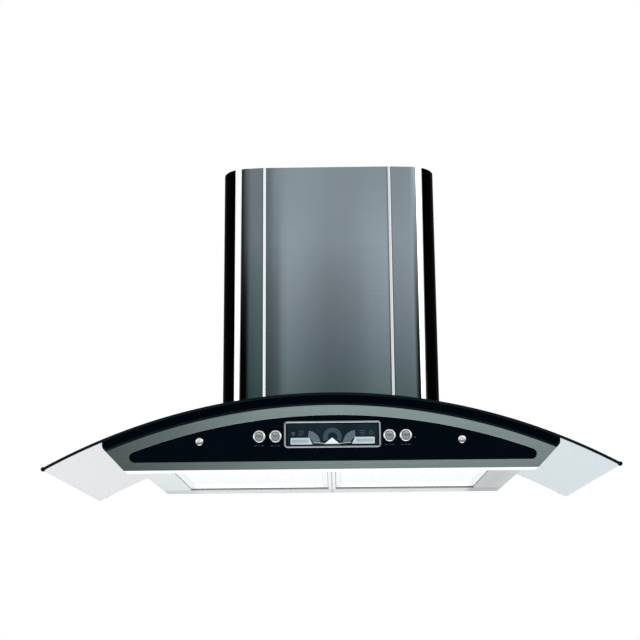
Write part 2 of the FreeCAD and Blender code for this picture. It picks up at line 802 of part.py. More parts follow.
def build_control_box():
    """A folded channel, open at both ends, that carries the board on four posts."""
    back = f"({PLATE_BACK} - {HOUSING_DEPTH})"
    left = f"panel_shift - {HOUSING_HALF}"
    right = f"panel_shift + {HOUSING_HALF}"
    outer = prism("housing_outer", "XZ", back, HOUSING_DEPTH,
                  rectangle(left, right, "housing_bottom", HOUSING_TOP))
    inner = prism("housing_inner", "XZ", f"{back} + housing_wall", HOUSING_DEPTH,
                  rectangle(f"{left} - {OVER}", f"{right} + {OVER}", "housing_bottom + housing_wall",
                            f"{HOUSING_TOP} - housing_wall"))
    posts = [turned(f"housing_post_{index}", f"panel_shift + {side} * ({BOARD_HALF} - post_inset)",
                    f"{back} + housing_wall", f"{DISPLAY_Z} + {rise} * (board_height / 2 - post_inset)",
                    "board_stand", "post_radius")
             for index, (side, rise) in enumerate([(1, 1), (1, -1), (-1, 1), (-1, -1)])]
    node("control_housing", join("housing", cut("housing_shell", outer, inner), *posts))

    board = prism("board_plate", "XZ", f"{back} + housing_wall + board_stand", "board_sheet",
                  rectangle(f"panel_shift - {BOARD_HALF}", f"panel_shift + {BOARD_HALF}",
                            f"{DISPLAY_Z} - board_height / 2", f"{DISPLAY_Z} + board_height / 2"))
    switches = [prism(name + "_switch", "XZ", BOARD_FRONT, "switch_height",
                      rectangle(f"{x} - switch_size / 2", f"{x} + switch_size / 2",
                                f"{BUTTON_Z} - switch_size / 2", f"{BUTTON_Z} + switch_size / 2"))
                for name, x in BUTTONS.items()]
    node("control_board", join("board", board, *switches))


# ---------------------------------------------------------------- body and underside

def build_shell():
    blank = prism("shell_blank", "XZ", "chassis_sheet", f"{SHELL_REACH} - chassis_sheet",
                  under_arch(ROOF_R, SHELL_HALF, "0"))
    hollow = prism("shell_hollow", "XZ", "chassis_sheet + shell_sheet",
                   f"{SHELL_REACH} - chassis_sheet - 2 * shell_sheet",
                   under_arch(f"({ROOF_R} - shell_sheet)", f"({SHELL_HALF} - shell_sheet)", f"-{OVER}"))
    hatch_half = "(chimney_half - hatch_margin)"
    hatch_reach = "(chimney_depth - hatch_margin)"
    hatch = box("shell_hatch", f"-{hatch_half}", f"-{hatch_reach}", "0", f"2 * {hatch_half}",
                f"{hatch_reach} - chassis_sheet - hatch_rear_strip", "crown_height")
    studs = [turned(f"shell_stud_hole_{index}", f"{side} * stud_half", f"{SHELL_REACH} - {OVER}", STUD_Z,
                    f"2 * {OVER}", "stud_shank") for index, side in enumerate((1, -1))]
    screws = [glass_screw_tool(f"shell_screw_hole_{index}", side, reach, "glass_screw_shank")
              for index, (side, reach) in enumerate(GLASS_SCREWS)]
    node("base_shell", cut("shell", blank, hollow, hatch, *studs, *screws))


def build_underside():
    half = f"({SHELL_HALF} - shell_sheet)"
    openings = [rectangle("divider_half", FILTER_HALF_SPAN, f"-{FILTER_OPENING}", "-rear_strip"),
                rectangle(f"-{FILTER_HALF_SPAN}", "-divider_half", f"-{FILTER_OPENING}", "-rear_strip")]
    lamps = [("circle", f"{side} * lamp_spacing / 2", f"-{LAMP_REACH}", "lamp_radius") for side in (1, -1)]
    plate = prism("under_plate", "XY", "0", "under_thickness",
                  rectangle(f"-{half}", half, f"-({SHELL_REACH} - shell_sheet)", "-(chassis_sheet + shell_sheet)"),
                  *openings, *lamps)
    lugs = [box(f"lug_{side}", x, f"-({HINGE_REACH} + lug_width / 2)", "under_thickness", width, "lug_width",
                "lug_height - under_thickness")
            for side, x, width in (("right", FILTER_HALF_SPAN, "lug_sheet"),
                                   ("left", f"-({FILTER_HALF_SPAN} + lug_sheet)", "lug_sheet"),
                                   ("centre", "-divider_half", "2 * divider_half"))]
    tabs = []
    arm_top = f"({FILTER_BOTTOM} + filter_height + magnet_gap + magnet_height + tab_sheet)"
    for index, x in enumerate(FILTER_MIDDLES):
        left = f"{x} - tab_width / 2"
        tabs.append(box(f"tab_post_{index}", left, f"-({FILTER_OPENING} + tab_sheet)", "under_thickness",
                        "tab_width", "tab_sheet", f"{arm_top} - under_thickness"))
        tabs.append(box(f"tab_arm_{index}", left, f"-({FILTER_OPENING} + tab_sheet)", f"{arm_top} - tab_sheet",
                        "tab_width", "tab_arm + tab_sheet", "tab_sheet"))
    reach = f"({FILTER_HALF_SPAN} + lug_sheet + {OVER})"
    bar = hinge_bar("lug_bore", f"-{reach}", f"2 * {reach}", "pin_radius")
    node("underside_frame", cut("underside", join("under_blank", plate, *lugs, *tabs), bar))

    magnets = [cylinder(f"magnet_{index}", x, f"-({FILTER_OPENING} - tab_arm / 2)",
                        f"{arm_top} - tab_sheet - magnet_height", "magnet_radius", "magnet_height")
               for index, x in enumerate(FILTER_MIDDLES)]
    node("filter_magnets", group("magnet_pair", *magnets))

    inside = "(divider_half + side_gap + pin_grip)"
    outside = f"({FILTER_HALF_SPAN} - side_gap - pin_grip)"
    outer_length = f"{FILTER_HALF_SPAN} + lug_sheet - {outside}"
    pins = [hinge_bar("pin_centre", f"-{inside}", f"2 * {inside}", "pin_radius"),
            hinge_bar("pin_right", outside, outer_length, "pin_radius"),
            hinge_bar("pin_left", f"-({FILTER_HALF_SPAN} + lug_sheet)", outer_length, "pin_radius")]
    node("filter_hinge_pins", group("hinge_pin_set", *pins))


def hinge_bar(name, start, length, radius):
    """A round bar along X on the filters' hinge line."""
    return prism(name, "YZ", start, length, ("circle", f"-{HINGE_REACH}", HINGE_Z, radius))


def build_filters():
    left = "(divider_half + side_gap)"
    right = f"({FILTER_HALF_SPAN} - side_gap)"
    outer = rectangle(left, right, f"-{FILTER_FRONT}", f"-{FILTER_REAR}")
    inner = rectangle(f"{left} + filter_rail", f"{right} - filter_rail", f"-{FILTER_FRONT} + filter_rail",
                      f"-{FILTER_REAR} - filter_rail")
    rails = prism("filter_rails", "XY", FILTER_BOTTOM, "filter_height", outer, inner)
    bore = hinge_bar("filter_bore", f"{left} - {OVER}", f"{right} - {left} + 2 * {OVER}",
                     "pin_radius + running_gap")
    frame = node("filter_frame_right", cut("filter_frame", rails, bore))
    node("filter_frame_left", mirrored("filter_frame_mirror", frame))
    pad = prism("filter_pad_blank", "XY", f"{FILTER_BOTTOM} + (filter_height - filter_pad) / 2", "filter_pad", inner)
    mesh = node("filter_mesh_right", pad)
    node("filter_mesh_left", mirrored("filter_mesh_mirror", mesh))


def build_lamps():
    x = "lamp_spacing / 2"
    y = f"-{LAMP_REACH}"
    can = cylinder("lamp_can", x, y, "0", "lamp_radius", "lamp_height")
    flange = cylinder("lamp_rim", x, y, "-lamp_flange_height", "lamp_flange", "lamp_flange_height")
    inside = cylinder("lamp_inside", x, y, f"-lamp_flange_height - {OVER}", "lamp_radius - lamp_wall",
                      f"lamp_flange_height + {OVER} + lamp_height - lamp_wall")
    housing = node("lamp_housing_right", cut("lamp_housing", join("lamp_blank", can, flange), inside))
    node("lamp_housing_left", mirrored("lamp_housing_mirror", housing))
    lens = node("lamp_lens_right", cylinder("lamp_glass", x, y, "-lamp_flange_height / 2",
                                            "lamp_radius - lamp_wall", "lamp_lens"))
    node("lamp_lens_left", mirrored("lamp_lens_mirror", lens))


# ---------------------------------------------------------------- chimney

def build_chimney():
    bottom = "0"
    tall = "chimney_height"
    roof = prism("roof_block", "XZ", f"-{OVER}", f"glass_depth + {OVER}",
                 under_arch(ROOF_R, f"(chimney_half + {OVER})", f"-{OVER}"))
    crease_right = f"(inlay_shift + {CORNER_X} - facet_width)"
    crease_left = f"(inlay_shift - {CORNER_X} + facet_width)"
    front = "(-chimney_depth)"
    facet = "(-(chimney_depth - facet_setback))"
    skin = "chimney_skin"
    inner = f"(chimney_corner - {skin})"
    front_outline = [
        (crease_left, front),
        (crease_right, front),
        (CORNER_X, facet, "chimney_corner", 1),
        (FRONT_HALF, corner_arc_y("chimney_corner", FRONT_HALF)),
        (FRONT_HALF, corner_arc_y(inner, FRONT_HALF), inner, -1),
        (CORNER_X, f"{facet} + {skin}"),
        (crease_right, f"{front} + {skin}"),
        (crease_left, f"{front} + {skin}"),
        (f"-{CORNER_X}", f"{facet} + {skin}", inner, -1),
        (f"-{FRONT_HALF}", corner_arc_y(inner, FRONT_HALF)),
        (f"-{FRONT_HALF}", corner_arc_y("chimney_corner", FRONT_HALF), "chimney_corner", 1),
        (f"-{CORNER_X}", facet),
    ]
    panel = prism("front_panel", "XY", bottom, tall, front_outline)
    node("chimney_front_panel", cut("front_panel_seated", panel, roof))

    for side, x in (("right", f"{crease_right} - inlay_width"), ("left", crease_left)):
        strip = box(f"inlay_bar_{side}", x, f"{front} - inlay_proud", bottom, "inlay_width", "inlay_proud", tall)
        node(f"chimney_inlay_{side}", cut(f"inlay_{side}", strip, roof))

    face = prism("strip_face", "XY", bottom, tall,
                 corner_band("(chimney_corner + strip_proud)", inner, STRIP_INNER, STRIP_OUTER))
    flange = prism("strip_back", "XY", bottom, tall,
                   corner_band(inner, f"({inner} - strip_flange)", f"({FRONT_HALF} - strip_tuck)",
                               f"({STRIP_OUTER} + strip_tuck)"))
    strip = node("corner_strip_right", cut("corner_strip", join("strip_blank", face, flange), roof))
    node("corner_strip_left", mirrored("corner_strip_mirror", strip))

    side_outline = [
        (STRIP_OUTER, corner_arc_y("chimney_corner", STRIP_OUTER), "chimney_corner", 1),
        ("chimney_half", CORNER_Y),
        ("chimney_half", "-side_wall_gap"),
        (f"chimney_half - {skin}", "-side_wall_gap"),
        (f"chimney_half - {skin}", CORNER_Y, inner, -1),
        (STRIP_OUTER, corner_arc_y(inner, STRIP_OUTER)),
    ]
    wall = prism("side_wall", "XY", bottom, tall, side_outline)
    side = node("chimney_side_right", cut("side_seated", wall, roof))
    node("chimney_side_left", mirrored("side_mirror", side))


def build_deck():
    """The plate that closes the chimney's top, let in below the rim so that the collar hides behind it."""
    radius = "(chimney_corner - chimney_skin - strip_flange)"
    half = f"({CORNER_X} + {radius})"
    front = f"({CORNER_Y} - {radius})"
    outline = [
        (f"-{CORNER_X}", front),
        (CORNER_X, front, radius, 1),
        (half, CORNER_Y),
        (half, "-chassis_sheet"),
        (f"-{half}", "-chassis_sheet"),
        (f"-{half}", CORNER_Y, radius, 1),
    ]
    node("chimney_top_plate", prism("deck", "XY", DECK_Z, "deck_sheet", outline,
                                    ("circle", "0", f"-{DUCT_REACH}", f"{BEAD_R} + collar_gap"),
                                    ("circle", f"-{CHASSIS_HALF}", f"-{GROMMET_REACH}", "grommet_neck")))

    def ring(name, z, radius, height):
        return cylinder(name, f"-{CHASSIS_HALF}", f"-{GROMMET_REACH}", z, radius, height)
    neck = ring("grommet_neck_ring", DECK_Z, "grommet_neck", "deck_sheet")
    rims = [ring(f"grommet_rim_{index}", z, "grommet_rim", "grommet_lip")
            for index, z in enumerate((f"{DECK_Z} - grommet_lip", f"{DECK_Z} + deck_sheet"))]
    bore = ring("grommet_hole", f"{DECK_Z} - grommet_lip - {OVER}", "grommet_bore",
                f"deck_sheet + 2 * (grommet_lip + {OVER})")
    node("cord_grommet", cut("grommet", join("grommet_blank", neck, *rims), bore))


def build_chassis():
    half = CHASSIS_HALF
    holes = [("circle", f"{side} * wall_hole_span / 2", z, "wall_hole_radius")
             for side in (1, -1) for z in ("wall_hole_low", f"{DECK_Z} - wall_hole_drop")]
    plate = prism("chassis_plate", "XZ", "0", "chassis_sheet", rectangle(f"-{half}", half, "0", DECK_Z), *holes)
    bottom = "(crown_height + chassis_flange_gap)"
    flanges = [box(f"chassis_flange_{index}", x, "-chassis_flange", bottom, "chassis_sheet",
                   "chassis_flange - chassis_sheet", f"{DECK_Z} - {bottom}")
               for index, x in enumerate((f"{half} - chassis_sheet", f"-{half}"))]
    node("rear_chassis", join("chassis", plate, *flanges))


# ---------------------------------------------------------------- blower

def build_blower():
    axle_hole = turned("scroll_axle_hole", AXIS_X, f"{SCROLL_BACK} - {OVER}", AXIS_Z,
                       f"blower_sheet + 2 * {OVER}", SHAFT_HOLE)
    blank = prism("scroll_blank", "XZ", SCROLL_BACK, "blower_depth", scroll_outline("0"))
    hollow = prism("scroll_hollow", "XZ", f"{SCROLL_BACK} + blower_sheet", "blower_depth",
                   scroll_outline("blower_sheet"))
    node("blower_scroll", cut("scroll", blank, hollow, axle_hole))

    cover = prism("cover_plate", "XZ", "blower_reach", "blower_sheet", scroll_outline("0"))
    inlet = turned("cover_inlet", AXIS_X, f"blower_reach - inlet_lip - {OVER}", AXIS_Z,
                   f"inlet_lip + blower_sheet + 2 * {OVER}", INLET_R)
    lip = turned("cover_lip", AXIS_X, "blower_reach - inlet_lip", AXIS_Z, "inlet_lip",
                 f"({INLET_R} + blower_sheet)")
    node("blower_front_plate", cut("cover", join("cover_blank", cover, lip), inlet))


def build_impeller():
    back = f"({SCROLL_BACK} + impeller_gap)"
    wide = "(blower_depth - impeller_gap - inlet_lip - impeller_front_gap)"
    body = doc.addObject("PartDesign::Body", "impeller_wheel")

    def pad(name, level, length, *loops):
        feature = body.newObject("PartDesign::Pad", name)
        feature.Profile = draw(body, name + "_outline", "XZ", level, loops)
        bind(feature, Length=length)
        body.Tip = feature
        doc.recompute()
        return feature
    shaft = ("circle", AXIS_X, AXIS_Z, "shaft_radius")
    pad("back_disc", back, "impeller_disc", ("circle", AXIS_X, AXIS_Z, "impeller_radius"), shaft)
    pad("hub", back, "hub_length", ("circle", AXIS_X, AXIS_Z, "(shaft_radius + hub_wall)"), shaft)
    root = f"({AXIS_X} + {BLADE_INNER} + blade_sheet)"
    tip = f"({AXIS_X} + impeller_radius - blade_sheet)"
    blade = pad("blade", back, wide, [
        (root, f"{AXIS_Z} - blade_sheet / 2"),
        (tip, f"{AXIS_Z} + blade_lean"),
        (tip, f"{AXIS_Z} + blade_lean + blade_sheet"),
        (root, f"{AXIS_Z} + blade_sheet / 2"),
    ])
    pattern = body.newObject("PartDesign::PolarPattern", "blades")
    pattern.Originals = [blade]
    axle = draw(body, "axle_line", "XZ", back, [("circle", "0", "0", "shaft_radius")])
    bind(axle, AttachmentOffset__Base__x=AXIS_X, AttachmentOffset__Base__y=AXIS_Z)
    pattern.Axis = (axle, ["N_Axis"])
    pattern.Angle = 360
    bind(pattern, Occurrences="blade_count")
    body.Tip = pattern
    doc.recompute()
    pad("front_rim", f"({back} + {wide} - impeller_rim)", "impeller_rim",
        ("circle", AXIS_X, AXIS_Z, "impeller_radius"), ("circle", AXIS_X, AXIS_Z, BLADE_INNER))
    return body


def build_motor():
    node("impeller", build_impeller())
    plate_back = f"({SCROLL_BACK} - motor_plate_sheet)"
    motor_back = f"({plate_back} - motor_length)"
    shaft_back = f"({motor_back} + shaft_setback)"
    shaft_front = f"({SCROLL_BACK} + impeller_gap + hub_length)"
    node("motor_shaft", turned("shaft", AXIS_X, shaft_back, AXIS_Z, f"{shaft_front} - {shaft_back}",
                               "shaft_radius"))
    node("motor_bracket", turned("motor_plate_ring", AXIS_X, plate_back, AXIS_Z, "motor_plate_sheet",
                                 MOTOR_PLATE, SHAFT_HOLE))
    can = turned("motor_can", AXIS_X, motor_back, AXIS_Z, "motor_length", "motor_radius")
    bore = turned("motor_bore", AXIS_X, f"{shaft_back} - running_gap", AXIS_Z, "motor_length",
                  "shaft_radius + running_gap")
    node("motor", cut("motor_whole", can, bore))


def build_blower_brackets():
    length = f"{SCROLL_BACK} - chassis_sheet"
    high = "bracket_high - bracket_low"
    for name, x, inward in (("blower_bracket_left", BRACKET_LEFT, 1), ("blower_bracket_right", BRACKET_RIGHT, -1)):
        flange_x = x if inward > 0 else f"{x} - bracket_flange + bracket_sheet"
        web = box(name + "_web", x, f"-{SCROLL_BACK}", "bracket_low", "bracket_sheet", length, high)
        feet = [box(f"{name}_foot_{index}", flange_x, y, "bracket_low", "bracket_flange", "bracket_sheet", high)
                for index, y in enumerate((f"-{SCROLL_BACK}", "-chassis_sheet - bracket_sheet"))]
        node(name, join(name + "_whole", web, *feet))


def build_electrics():
    node("capacitor", cylinder("capacitor_can", "capacitor_x", "-(chassis_sheet + capacitor_radius)", "capacitor_z",
                               "capacitor_radius", "capacitor_length"))
    outer = box("junction_outer", "-junction_width / 2", "-(chassis_sheet + junction_depth)", JUNCTION_Z,
                "junction_width", "junction_depth", "junction_height")
    inner = box("junction_inner", "-junction_width / 2 + junction_wall",
                "-(chassis_sheet + junction_depth - junction_wall)", f"{JUNCTION_Z} + junction_wall",
                "junction_width - 2 * junction_wall", "junction_depth - 2 * junction_wall",
                "junction_height - 2 * junction_wall")
    node("junction_box", cut("junction", outer, inner))


# ---------------------------------------------------------------- outlet

def build_outlet():
    outer = box("outlet_outer", OUTLET_LEFT, f"-({DUCT_REACH} + {OUTLET_HALF_DEPTH})", SCROLL_TOP,
                f"{OUTLET_RIGHT} - {OUTLET_LEFT}", f"2 * {OUTLET_HALF_DEPTH}", "outlet_height")
    inner = box("outlet_inner", f"{OUTLET_LEFT} + blower_sheet",
                f"-({DUCT_REACH} + {OUTLET_HALF_DEPTH} - blower_sheet)", f"{SCROLL_TOP} + blower_sheet",
                f"{OUTLET_RIGHT} - {OUTLET_LEFT} - 2 * blower_sheet",
                f"2 * ({OUTLET_HALF_DEPTH} - blower_sheet)", "outlet_height - 2 * blower_sheet")
    mouth = box("outlet_mouth", MOUTH_LEFT, "-blower_reach", f"{SCROLL_TOP} - {OVER}",
                f"{MOUTH_RIGHT} - {MOUTH_LEFT}", "blower_depth - blower_sheet", f"blower_sheet + 2 * {OVER}")
    throat = cylinder("outlet_throat", "0", f"-{DUCT_REACH}", f"{OUTLET_TOP} - {OVER}",
                      "collar_radius - collar_wall", f"2 * {OVER}")
    node("outlet_box", cut("outlet", outer, inner, mouth, throat))

    inside = "(collar_radius - collar_wall)"
    tube = cylinder("collar_tube", "0", f"-{DUCT_REACH}", OUTLET_TOP, "collar_radius", "collar_height")
    flange = cylinder("collar_foot", "0", f"-{DUCT_REACH}", OUTLET_TOP, COLLAR_FOOT, "collar_wall")
    bead = cylinder("collar_bead", "0", f"-{DUCT_REACH}", BEAD_Z, BEAD_R, "bead_height")
    hole = cylinder("collar_hole", "0", f"-{DUCT_REACH}", f"{OUTLET_TOP} - {OVER}", inside,
                    f"collar_height + 2 * {OVER}")
    ledge_bottom = f"({DAMPER_Z} - damper_sheet / 2 - damper_rest - ledge_height)"
    ledge = cylinder("ledge_disc", "0", f"-{DUCT_REACH}", ledge_bottom, inside, "ledge_height")
    ledge_hole = cylinder("ledge_hole", "0", f"-{DUCT_REACH}", f"{ledge_bottom} - {OVER}",
                          f"{inside} - ledge_width", f"ledge_height + 2 * {OVER}")
    pins = [turned(f"damper_rod_{index}", f"{side} * damper_offset", f"{DUCT_REACH} - {inside}", DAMPER_Z,
                   f"2 * {inside}", "damper_pin") for index, side in enumerate((1, -1))]
    seat = join("collar_blank", cut("collar_wall_tube", join("collar_outer", tube, flange, bead), hole),
                cut("ledge_ring", ledge, ledge_hole))
    node("exhaust_collar", cut("collar", seat, *pins))
    bore = cylinder("rod_limit", "0", f"-{DUCT_REACH}", f"{DAMPER_Z} - {OVER}", inside, f"2 * {OVER}")
    rods = [common(f"damper_pin_{index}", pin, bore) for index, pin in enumerate(pins)]
    node("damper_pins", group("damper_pin_pair", *rods))

    disc = cylinder("damper_disc", "0", f"-{DUCT_REACH}", f"{DAMPER_Z} - damper_sheet / 2",
                    f"{inside} - damper_gap", "damper_sheet")
    half_space = box("damper_half", "damper_offset", f"-{DUCT_REACH} - collar_radius", f"{DAMPER_Z} - {OVER}",
                     "collar_radius", "2 * collar_radius", f"2 * {OVER}")
    knuckle = turned("damper_knuckle", "damper_offset", f"{DUCT_REACH} - knuckle_length / 2", DAMPER_Z,
                     "knuckle_length", "knuckle_radius")
    rod_space = turned("damper_rod_space", "damper_offset", f"{DUCT_REACH} - {inside} - {OVER}", DAMPER_Z,
                       f"2 * ({inside} + {OVER})", "damper_pin + running_gap")
    blade = join("damper_blank", common("damper_blade", disc, half_space), knuckle)
    flap = node("damper_flap_right", cut("damper_flap", blade, rod_space))
    node("damper_flap_left", mirrored("damper_flap_mirror", flap))


# ---------------------------------------------------------------- checks and files

def check_and_export():
    doc.recompute()
    for thing in doc.Objects:
        if "Invalid" in thing.State or "Error" in thing.State:
            raise RuntimeError(f"{thing.Name} failed: {thing.State}")
    for piece in NODES:
        if piece.Shape.isNull() or not piece.Shape.isValid() or not piece.Shape.Solids:
            raise RuntimeError(f"{piece.Label} has no valid solid")
    os.makedirs("parts", exist_ok=True)
    for piece in NODES:
        piece.Shape.exportStep(f"parts/{piece.Label}.step")
        print(f"{piece.Label}: {len(piece.Shape.Solids)} solid(s), {piece.Shape.Volume / 1000:.1f} cm3")


def main():
    fill_sheet()
    build_canopy()
    build_glass_screws()
    build_fascia()
    build_display()
    build_buttons()
    build_control_box()
    build_shell()
    build_underside()
    build_filters()
    build_lamps()
    build_chimney()
    build_deck()
    build_chassis()
    build_blower()
    build_motor()
    build_blower_brackets()
    build_electrics()
    build_outlet()
    check_and_export()


main()
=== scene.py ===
"""Looks of the curved glass range hood: finishes, glass, trims, controls, filters and lamps.

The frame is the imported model's: X to the right, the front faces -Y, +Z up, and the wall is the plane
Y = 0. Shapes are written in millimetres here and become metres when their mesh is made.
"""
import json
import math

import bmesh
import bpy
from mathutils import Matrix, Vector


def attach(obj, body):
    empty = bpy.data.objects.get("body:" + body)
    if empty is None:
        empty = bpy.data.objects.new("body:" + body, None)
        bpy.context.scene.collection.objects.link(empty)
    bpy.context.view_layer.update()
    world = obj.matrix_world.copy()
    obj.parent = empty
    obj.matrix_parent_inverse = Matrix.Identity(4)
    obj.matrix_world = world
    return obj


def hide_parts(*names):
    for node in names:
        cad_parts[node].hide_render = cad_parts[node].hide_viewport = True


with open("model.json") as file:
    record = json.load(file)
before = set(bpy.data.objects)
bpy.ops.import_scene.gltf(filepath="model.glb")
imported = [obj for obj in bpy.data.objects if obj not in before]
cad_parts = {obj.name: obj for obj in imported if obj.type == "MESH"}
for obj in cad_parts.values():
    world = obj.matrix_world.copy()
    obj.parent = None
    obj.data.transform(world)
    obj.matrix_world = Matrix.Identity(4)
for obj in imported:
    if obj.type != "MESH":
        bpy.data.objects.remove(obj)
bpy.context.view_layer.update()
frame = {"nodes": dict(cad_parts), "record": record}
NODES = frame["nodes"]
bpy.context.scene.view_settings.view_transform = "Standard"

MM = 0.001
X, Y, Z = range(3)
SIDES = (("right", 1), ("left", -1))

# the arches' common centre and their radii
ARCH_Z = -828.517
GLASS_OUTER = 934.117
GLASS_INNER = 930.517
ROOF = 927.817
FASCIA_OUTER = 915.117
LENS_OUTER = 899.017

# depths, from the glass edge's front back towards the wall
GLASS_FRONT = -500
PANE_FRONT = -498
MOULDING_FRONT = -496
CHANNEL_REAR = -494.5
FASCIA_FRONT = -494
PANEL_BACK = -491
PLATE_BACK = -490
SHELL_FRONT = -460
CHIMNEY_FRONT = -270

# half widths of the glass and of the moulding, and the wall of the channel around the glass edge
GLASS_HALF = 447.5
CHANNEL_WALL = 0.15
MOULDING_HALF = 357.5
MOULDING_FOOT = 351.5

# the fascia and the lens-shaped control glass in it
FASCIA_BOTTOM = -14.5
FASCIA_FOOT = 321.59
FASCIA_SHOULDER = 351.49
LENS_BOTTOM = -1.3
LENS_END = (308.69, 7.0)
LENS_END_RADIUS = 8.3

# the control glass and what is on it sit a little right of the middle; the studs don't
PANEL_SHIFT = 3
DISPLAY_Z = 40
DISPLAY_HALF = 76.5
DISPLAY_RISE = 21.85
BUTTON_Z = 37.6
BUTTON_X = {"left_outer": -111.5, "left_inner": -86, "right_inner": 92, "right_outer": 117.5}
CAPTION_Z = BUTTON_Z - 14.6
STUD_X = 204.8
STUD_Z = 30.2
# prints on the glass stand out by a hair
PRINT_PROUD = 0.05
PRINT_DEPTH = 0.1

# the chimney: round front corners, each with a strip in a gap between the front sheet and the side
CHIMNEY_TOP = 564
CHIMNEY_HALF = 193
CORNER_X = 145
CORNER_Y = -219
CORNER_RADIUS = 48
SHEET = 1
SHEET_INSIDE = CORNER_RADIUS - SHEET
FRONT_END = 154.5
STRIP_SPAN = (158.5, 170)
FLANGE_SPAN = (148.5, 176)
INLAYS = (-118.85, 112.05)


# ---------------------------------------------------------------- camera, light and background

def add_camera():
    """The photograph's view: a little below the hood, tilted up."""
    place = Vector((0.00992, -2.49898, -0.25709))
    yaw = 0.012387
    pitch = 0.235296
    roll = -0.008434
    forward = Vector((-math.sin(yaw) * math.cos(pitch), math.cos(yaw) * math.cos(pitch), math.sin(pitch)))
    right = Vector((math.cos(yaw), math.sin(yaw), 0))
    up = right.cross(forward)
    side = right * math.cos(roll) + up * math.sin(roll)
    top = up * math.cos(roll) - right * math.sin(roll)
    data = bpy.data.cameras.new("camera")
    data.lens = 72.744
    data.sensor_width = 36
    camera = bpy.data.objects.new("camera", data)
    turn = Matrix((side, top, -forward)).transposed().to_4x4()
    camera.matrix_world = Matrix.Translation(place) @ turn
    bpy.context.scene.collection.objects.link(camera)
    bpy.context.scene.camera = camera


def add_world():
    """White where it is seen or mirrored, and a soft cool light on what it shines on."""
    world = bpy.data.worlds.new("studio")
    bpy.context.scene.world = world
    world.use_nodes = True
    tree = world.node_tree
    tree.nodes.clear()
    path = tree.nodes.new("ShaderNodeLightPath")
    seen = combine(tree, "MAXIMUM", path.outputs["Is Camera Ray"], path.outputs["Is Glossy Ray"])
    seen = combine(tree, "MAXIMUM", seen, path.outputs["Is Transmission Ray"])
    soft = tree.nodes.new("ShaderNodeBackground")
    soft.inputs["Color"].default_value = (0.94, 0.97, 1, 1)
    soft.inputs["Strength"].default_value = 0.8
    white = tree.nodes.new("ShaderNodeBackground")
    white.inputs["Color"].default_value = (1, 1, 1, 1)
    mix = tree.nodes.new("ShaderNodeMixShader")
    output = tree.nodes.new("ShaderNodeOutputWorld")
    tree.links.new(seen, mix.inputs[0])
    tree.links.new(soft.outputs[0], mix.inputs[1])
    tree.links.new(white.outputs[0], mix.inputs[2])
    tree.links.new(mix.outputs[0], output.inputs[0])


def add_light(name, place, target, size, power):
    data = bpy.data.lights.new(name, "AREA")
    data.shape = "RECTANGLE"
    data.size = size[0]
    data.size_y = size[1]
    data.energy = power
    lamp = bpy.data.objects.new(name, data)
    lamp.location = place
    lamp.rotation_euler = (Vector(target) - Vector(place)).to_track_quat("-Z", "Y").to_euler()
    bpy.context.scene.collection.objects.link(lamp)


def add_floor():
    """A pale floor well below the hood, as large as the views need."""
    height = -1.5
    reach = 16
    corners = [(x * reach, y * reach, height) for x, y in ((-1, -1), (1, -1), (1, 1), (-1, 1))]
    mesh = bpy.data.meshes.new("floor")
    mesh.from_pydata(corners, [], [(0, 1, 2, 3)])
    floor = bpy.data.objects.new("floor", mesh)
    bpy.context.scene.collection.objects.link(floor)
    material, _, shader = new_material("floor_pale")
    shader.inputs["Base Color"].default_value = (0.86, 0.86, 0.86, 1)
    shader.inputs["Roughness"].default_value = 0.9
    mesh.materials.append(material)


# ---------------------------------------------------------------- material building blocks

def new_material(name):
    material = bpy.data.materials.new(name)
    material.use_nodes = True
    tree = material.node_tree
    shader = next(node for node in tree.nodes if node.type == "BSDF_PRINCIPLED")
    return material, tree, shader


def feed(tree, socket, value):
    """Set a number on a socket, or link another node's output to it."""
    if isinstance(value, (int, float)):
        socket.default_value = value
    else:
        tree.links.new(value, socket)


def combine(tree, operation, first, second):
    node = tree.nodes.new("ShaderNodeMath")
    node.operation = operation
    feed(tree, node.inputs[0], first)
    feed(tree, node.inputs[1], second)
    return node.outputs[0]


def object_place(tree):
    return tree.nodes.new("ShaderNodeTexCoord").outputs["Object"]


def noise(tree, stretch, scale, detail, roughness=0.6):
    """Noise over the object's own coordinates, stretched per axis."""
    mapping = tree.nodes.new("ShaderNodeMapping")
    mapping.inputs["Scale"].default_value = stretch
    texture = tree.nodes.new("ShaderNodeTexNoise")
    texture.inputs["Scale"].default_value = scale
    texture.inputs["Detail"].default_value = detail
    texture.inputs["Roughness"].default_value = roughness
    tree.links.new(object_place(tree), mapping.inputs["Vector"])
    tree.links.new(mapping.outputs["Vector"], texture.inputs["Vector"])
    return texture.outputs["Fac"]


def ramp(tree, factor, stops):
    """A colour ramp; a stop's colour is one number for grey or three numbers."""
    node = tree.nodes.new("ShaderNodeValToRGB")
    elements = node.color_ramp.elements
    while len(elements) < len(stops):
        elements.new(0.5)
    for element, (place, colour) in zip(elements, stops):
        rgb = (colour,) * 3 if isinstance(colour, (int, float)) else colour
        element.position = place
        element.color = (*rgb, 1)
    tree.links.new(factor, node.inputs["Fac"])
    return node.outputs["Color"]


def coordinate(tree, axis):
    split = tree.nodes.new("ShaderNodeSeparateXYZ")
    tree.links.new(object_place(tree), split.inputs[0])
    return split.outputs[axis]


def along(tree, value, stops):
    """A ramp over a length, with stops in millimetres."""
    start, end = stops[0][0], stops[-1][0]
    reach = tree.nodes.new("ShaderNodeMapRange")
    reach.inputs["From Min"].default_value = start * MM
    reach.inputs["From Max"].default_value = end * MM
    tree.links.new(value, reach.inputs["Value"])
    shares = [((place - start) / (end - start), tone) for place, tone in stops]
    return ramp(tree, reach.outputs["Result"], shares)


